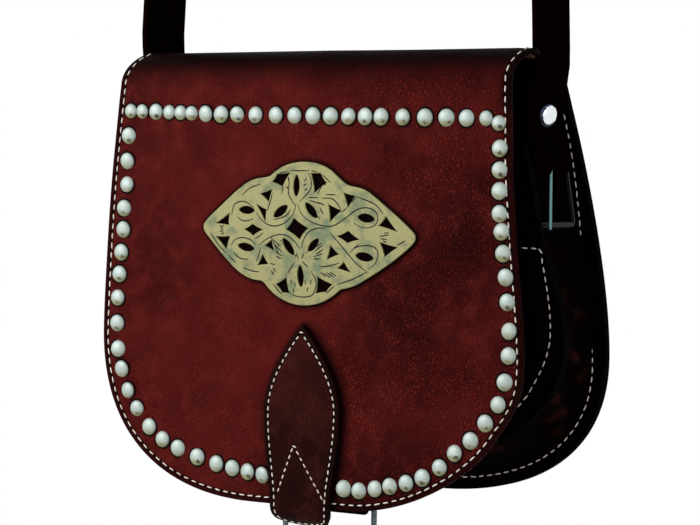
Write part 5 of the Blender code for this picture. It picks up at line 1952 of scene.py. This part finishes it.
@dataclass
class Buckle(SubAssembly):
    """A wire frame and its prong, both hung on the frame's top bar."""

    prefix: str
    bar: tuple[float, float, float]
    half_width: float
    turn: Matrix
    frame_body: Body
    prong_body: Body
    wire: float = 1.6 * MM
    prong: float = 1.1 * MM
    height: float = 30 * MM
    corner: float = 2.4 * MM
    prong_past: float = 1.2 * MM
    slant: float = 0.0
    frame_finish: str = "grey_steel"

    def placed(self, points: Array) -> Array:
        """Points round the bar, turned and put on it."""
        return points @ np.array(self.turn).T + np.array(self.bar) - (0, 0, HANG)

    def frame_route(self) -> Array:
        """A rounded rectangle that hangs from its top bar.

        Returns:
            The wire's middle line around the bar.
        """
        corners = []
        half = self.half_width + self.wire
        for quarter, (side, drop) in enumerate(((1, 0), (1, -1), (-1, -1), (-1, 0))):
            inner = -self.corner if drop == 0 else self.corner - self.height
            turn = np.pi / 2 * (1 - quarter - np.linspace(0, 1, 7))
            corners.append(np.column_stack([side * (half - self.corner) + self.corner * np.cos(turn),
                                            np.zeros(7), inner + self.corner * np.sin(turn)]))
        return np.vstack(corners)

    def prong_route(self) -> Array:
        """A ring round the bar and a shank that rests on the lower bar.

        Returns:
            The wire's middle line around the bar.
        """
        radius = self.wire + FORM.gap + self.prong
        turn = np.pi / 2 * (3 * np.linspace(0, 1, 22) - 1)
        ring = np.column_stack([np.zeros(22), radius * np.cos(turn), radius * np.sin(turn)])
        tip = (self.slant, -radius, -self.height - self.wire - self.prong_past)
        shank = np.linspace(ring[-1], tip, 12)[1:]
        return np.vstack([ring, shank])

    def build(self) -> None:
        """Build the frame and the prong."""
        frame = tube(self.prefix + "_frame_wire", [self.placed(self.frame_route())], self.wire, ring=True)
        self.fit(frame, self.frame_body, Slot.BLACK_STEEL, [self.prefix + "_frame"], self.frame_finish)
        prong = tube(self.prefix + "_prong_wire", [self.placed(self.prong_route())], self.prong)
        self.fit(prong, self.prong_body, Slot.STEEL, [self.prefix + "_prong"], "steel")


CHAPE_MIDDLE_Y = -15.9 * MM


@dataclass
class Closure(SubAssembly):
    """The leather that hangs from the pocket, and its buckle."""

    centre_x: float = 1.5 * MM
    top_z: float = -58 * MM
    bar_z: float = -131 * MM
    thickness: float = 2.4 * MM
    width: float = 46 * MM
    buckle_half: float = 26.4 * MM
    turned_back: float = 16 * MM
    slot: float = 24 * MM
    slot_wide: float = 3.4 * MM

    @staticmethod
    def outward(centre: Vector) -> Vector:
        """Forwards; the outer run of the folded strip decides."""
        return Vector((0.0, -1.0 if centre.y < CHAPE_MIDDLE_Y else 1.0, 0.0))

    def build(self) -> None:
        """Build the chape and its buckle."""
        face = float(FORM.front_y(np.array(self.top_z))) - FORM.gap * 2 - FORM.pocket_swell - FORM.pocket_leather
        face -= self.thickness / 2
        bar = (self.centre_x, face + 1.6 * MM + FORM.gap + self.thickness / 2, self.bar_z)
        loop = round_bar(bar, (0.0, -1.0, 0.0), self.thickness, self.turned_back)
        route = np.vstack([np.linspace((self.centre_x, face, self.top_z), loop[0], 26)[:-1], loop]) - (0, 0, HANG)
        chape = Strip(self.width, self.thickness, (1.0, 0.0, 0.0), 14).lay(
            "chape_leather", route, self.outward)
        cut_slot(chape, (bar[0], bar[1], bar[2] - HANG), (self.slot_wide, self.slot, self.slot))
        self.fit(chape, Body.BAG, Slot.DARK, ["closure_chape"], "strap", *LEATHER_SIDES)
        Buckle(self.finishes, "closure_buckle", bar, self.buckle_half, Matrix.Identity(3), Body.CLOSURE_FRAME,
               Body.CLOSURE_PRONG).build()


@dataclass
class Studio:
    """Camera, lamps, world and floor."""

    camera_at: tuple[float, float, float] = (0.8230, -1.3150, -0.5398)
    azimuth: float = math.radians(32.0)
    pitch: float = math.radians(2.3)
    roll: float = math.radians(1.16)
    lens_mm: float = 148.1
    floor_z: float = -0.80
    ambient: float = 0.35
    paper: Colour = (0.85, 0.85, 0.85)
    lamps: tuple = (("key", (-1.1, -1.4, -0.1), 30.0, 0.9), ("fill", (1.7, -0.9, 0.0), 7.0, 0.9))

    def camera(self) -> None:
        """The camera at the photograph's angle."""
        ahead = Vector((-math.sin(self.azimuth) * math.cos(self.pitch), math.cos(self.azimuth) * math.cos(self.pitch),
                        -math.sin(self.pitch)))
        level = Vector((math.cos(self.azimuth), math.sin(self.azimuth), 0.0))
        right = level * math.cos(self.roll) + level.cross(ahead) * math.sin(self.roll)
        up = right.cross(ahead)
        data = bpy.data.cameras.new("camera")
        data.lens = self.lens_mm
        data.sensor_width = 36.0
        camera = bpy.data.objects.new("camera", data)
        bpy.context.scene.collection.objects.link(camera)
        camera.matrix_world = Matrix.Translation(self.camera_at) @ Matrix((right, up, -ahead)).transposed().to_4x4()
        bpy.context.scene.camera = camera

    @staticmethod
    def lamp(name: str, at: Sequence[float], watts: float, size: float) -> None:
        """A soft square lamp that looks at the bag.

        Args:
            name: the lamp's name.
            at: where it stands.
            watts: its power.
            size: the length of its sides.
        """
        data = bpy.data.lights.new(name, "AREA")
        data.energy = watts
        data.size = size
        lamp = bpy.data.objects.new(name, data)
        bpy.context.scene.collection.objects.link(lamp)
        lamp.location = at
        lamp.rotation_euler = (Vector((0, 0, -HANG)) - Vector(at)).to_track_quat("-Z", "Y").to_euler()

    def world(self) -> None:
        """Dim light all round, and white where the background is seen, mirrored or let through."""
        world = bpy.data.worlds.new("studio")
        bpy.context.scene.world = world
        bench = NodeBench(world)
        bench.shade(Color=(1.0, 1.0, 1.0), Strength=bench.background_rays() * (1.0 - self.ambient) + self.ambient)

    def floor(self) -> None:
        """A white floor that keeps the bag's shadow under it."""
        deselect()
        bpy.ops.mesh.primitive_plane_add(size=14.0, location=(0.0, 0.0, self.floor_z))
        floor = bpy.context.object
        floor.name = "floor"
        bench = NodeBench.for_material("floor_paper")
        place = bench.place()
        x, y = bench.axis(place, "X"), bench.axis(place, "Y")
        far = (x * x + y * y).ease(0.02, 0.12)
        bench.shade(Base_Color=self.paper, Roughness=0.9)
        glow = bench.node("ShaderNodeEmission", {}, {"Color": (1.0, 1.0, 1.0), "Strength": 1.0})
        cover = bench.node("ShaderNodeMixShader", {}, {
            0: bench.background_rays() * (far * 0.35 + 0.65), 1: Wire(bench, bench.shader.outputs[0]), 2: glow})
        bench.feed(bench.tree.nodes["Material Output"].inputs["Surface"], cover)
        dress(floor, bench.owner)

    def build(self) -> None:
        """Set the whole studio."""
        self.camera()
        self.world()
        self.floor()
        for name, at, watts, size in self.lamps:
            self.lamp(name, at, watts, size)
        bpy.context.scene.view_settings.view_transform = "Standard"


def main() -> None:
    """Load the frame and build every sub-assembly on it."""
    logging.basicConfig(level=logging.INFO, format="%(name)s: %(message)s")
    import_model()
    finishes = Finishes(Palette())
    Studio().build()
    for part in (Satchel(finishes), Flap(finishes), Closure(finishes), ShoulderStrap(finishes)):
        part.build()
        LOG.info("%s is done", type(part).__name__)


if __name__ == "__main__":
    main()
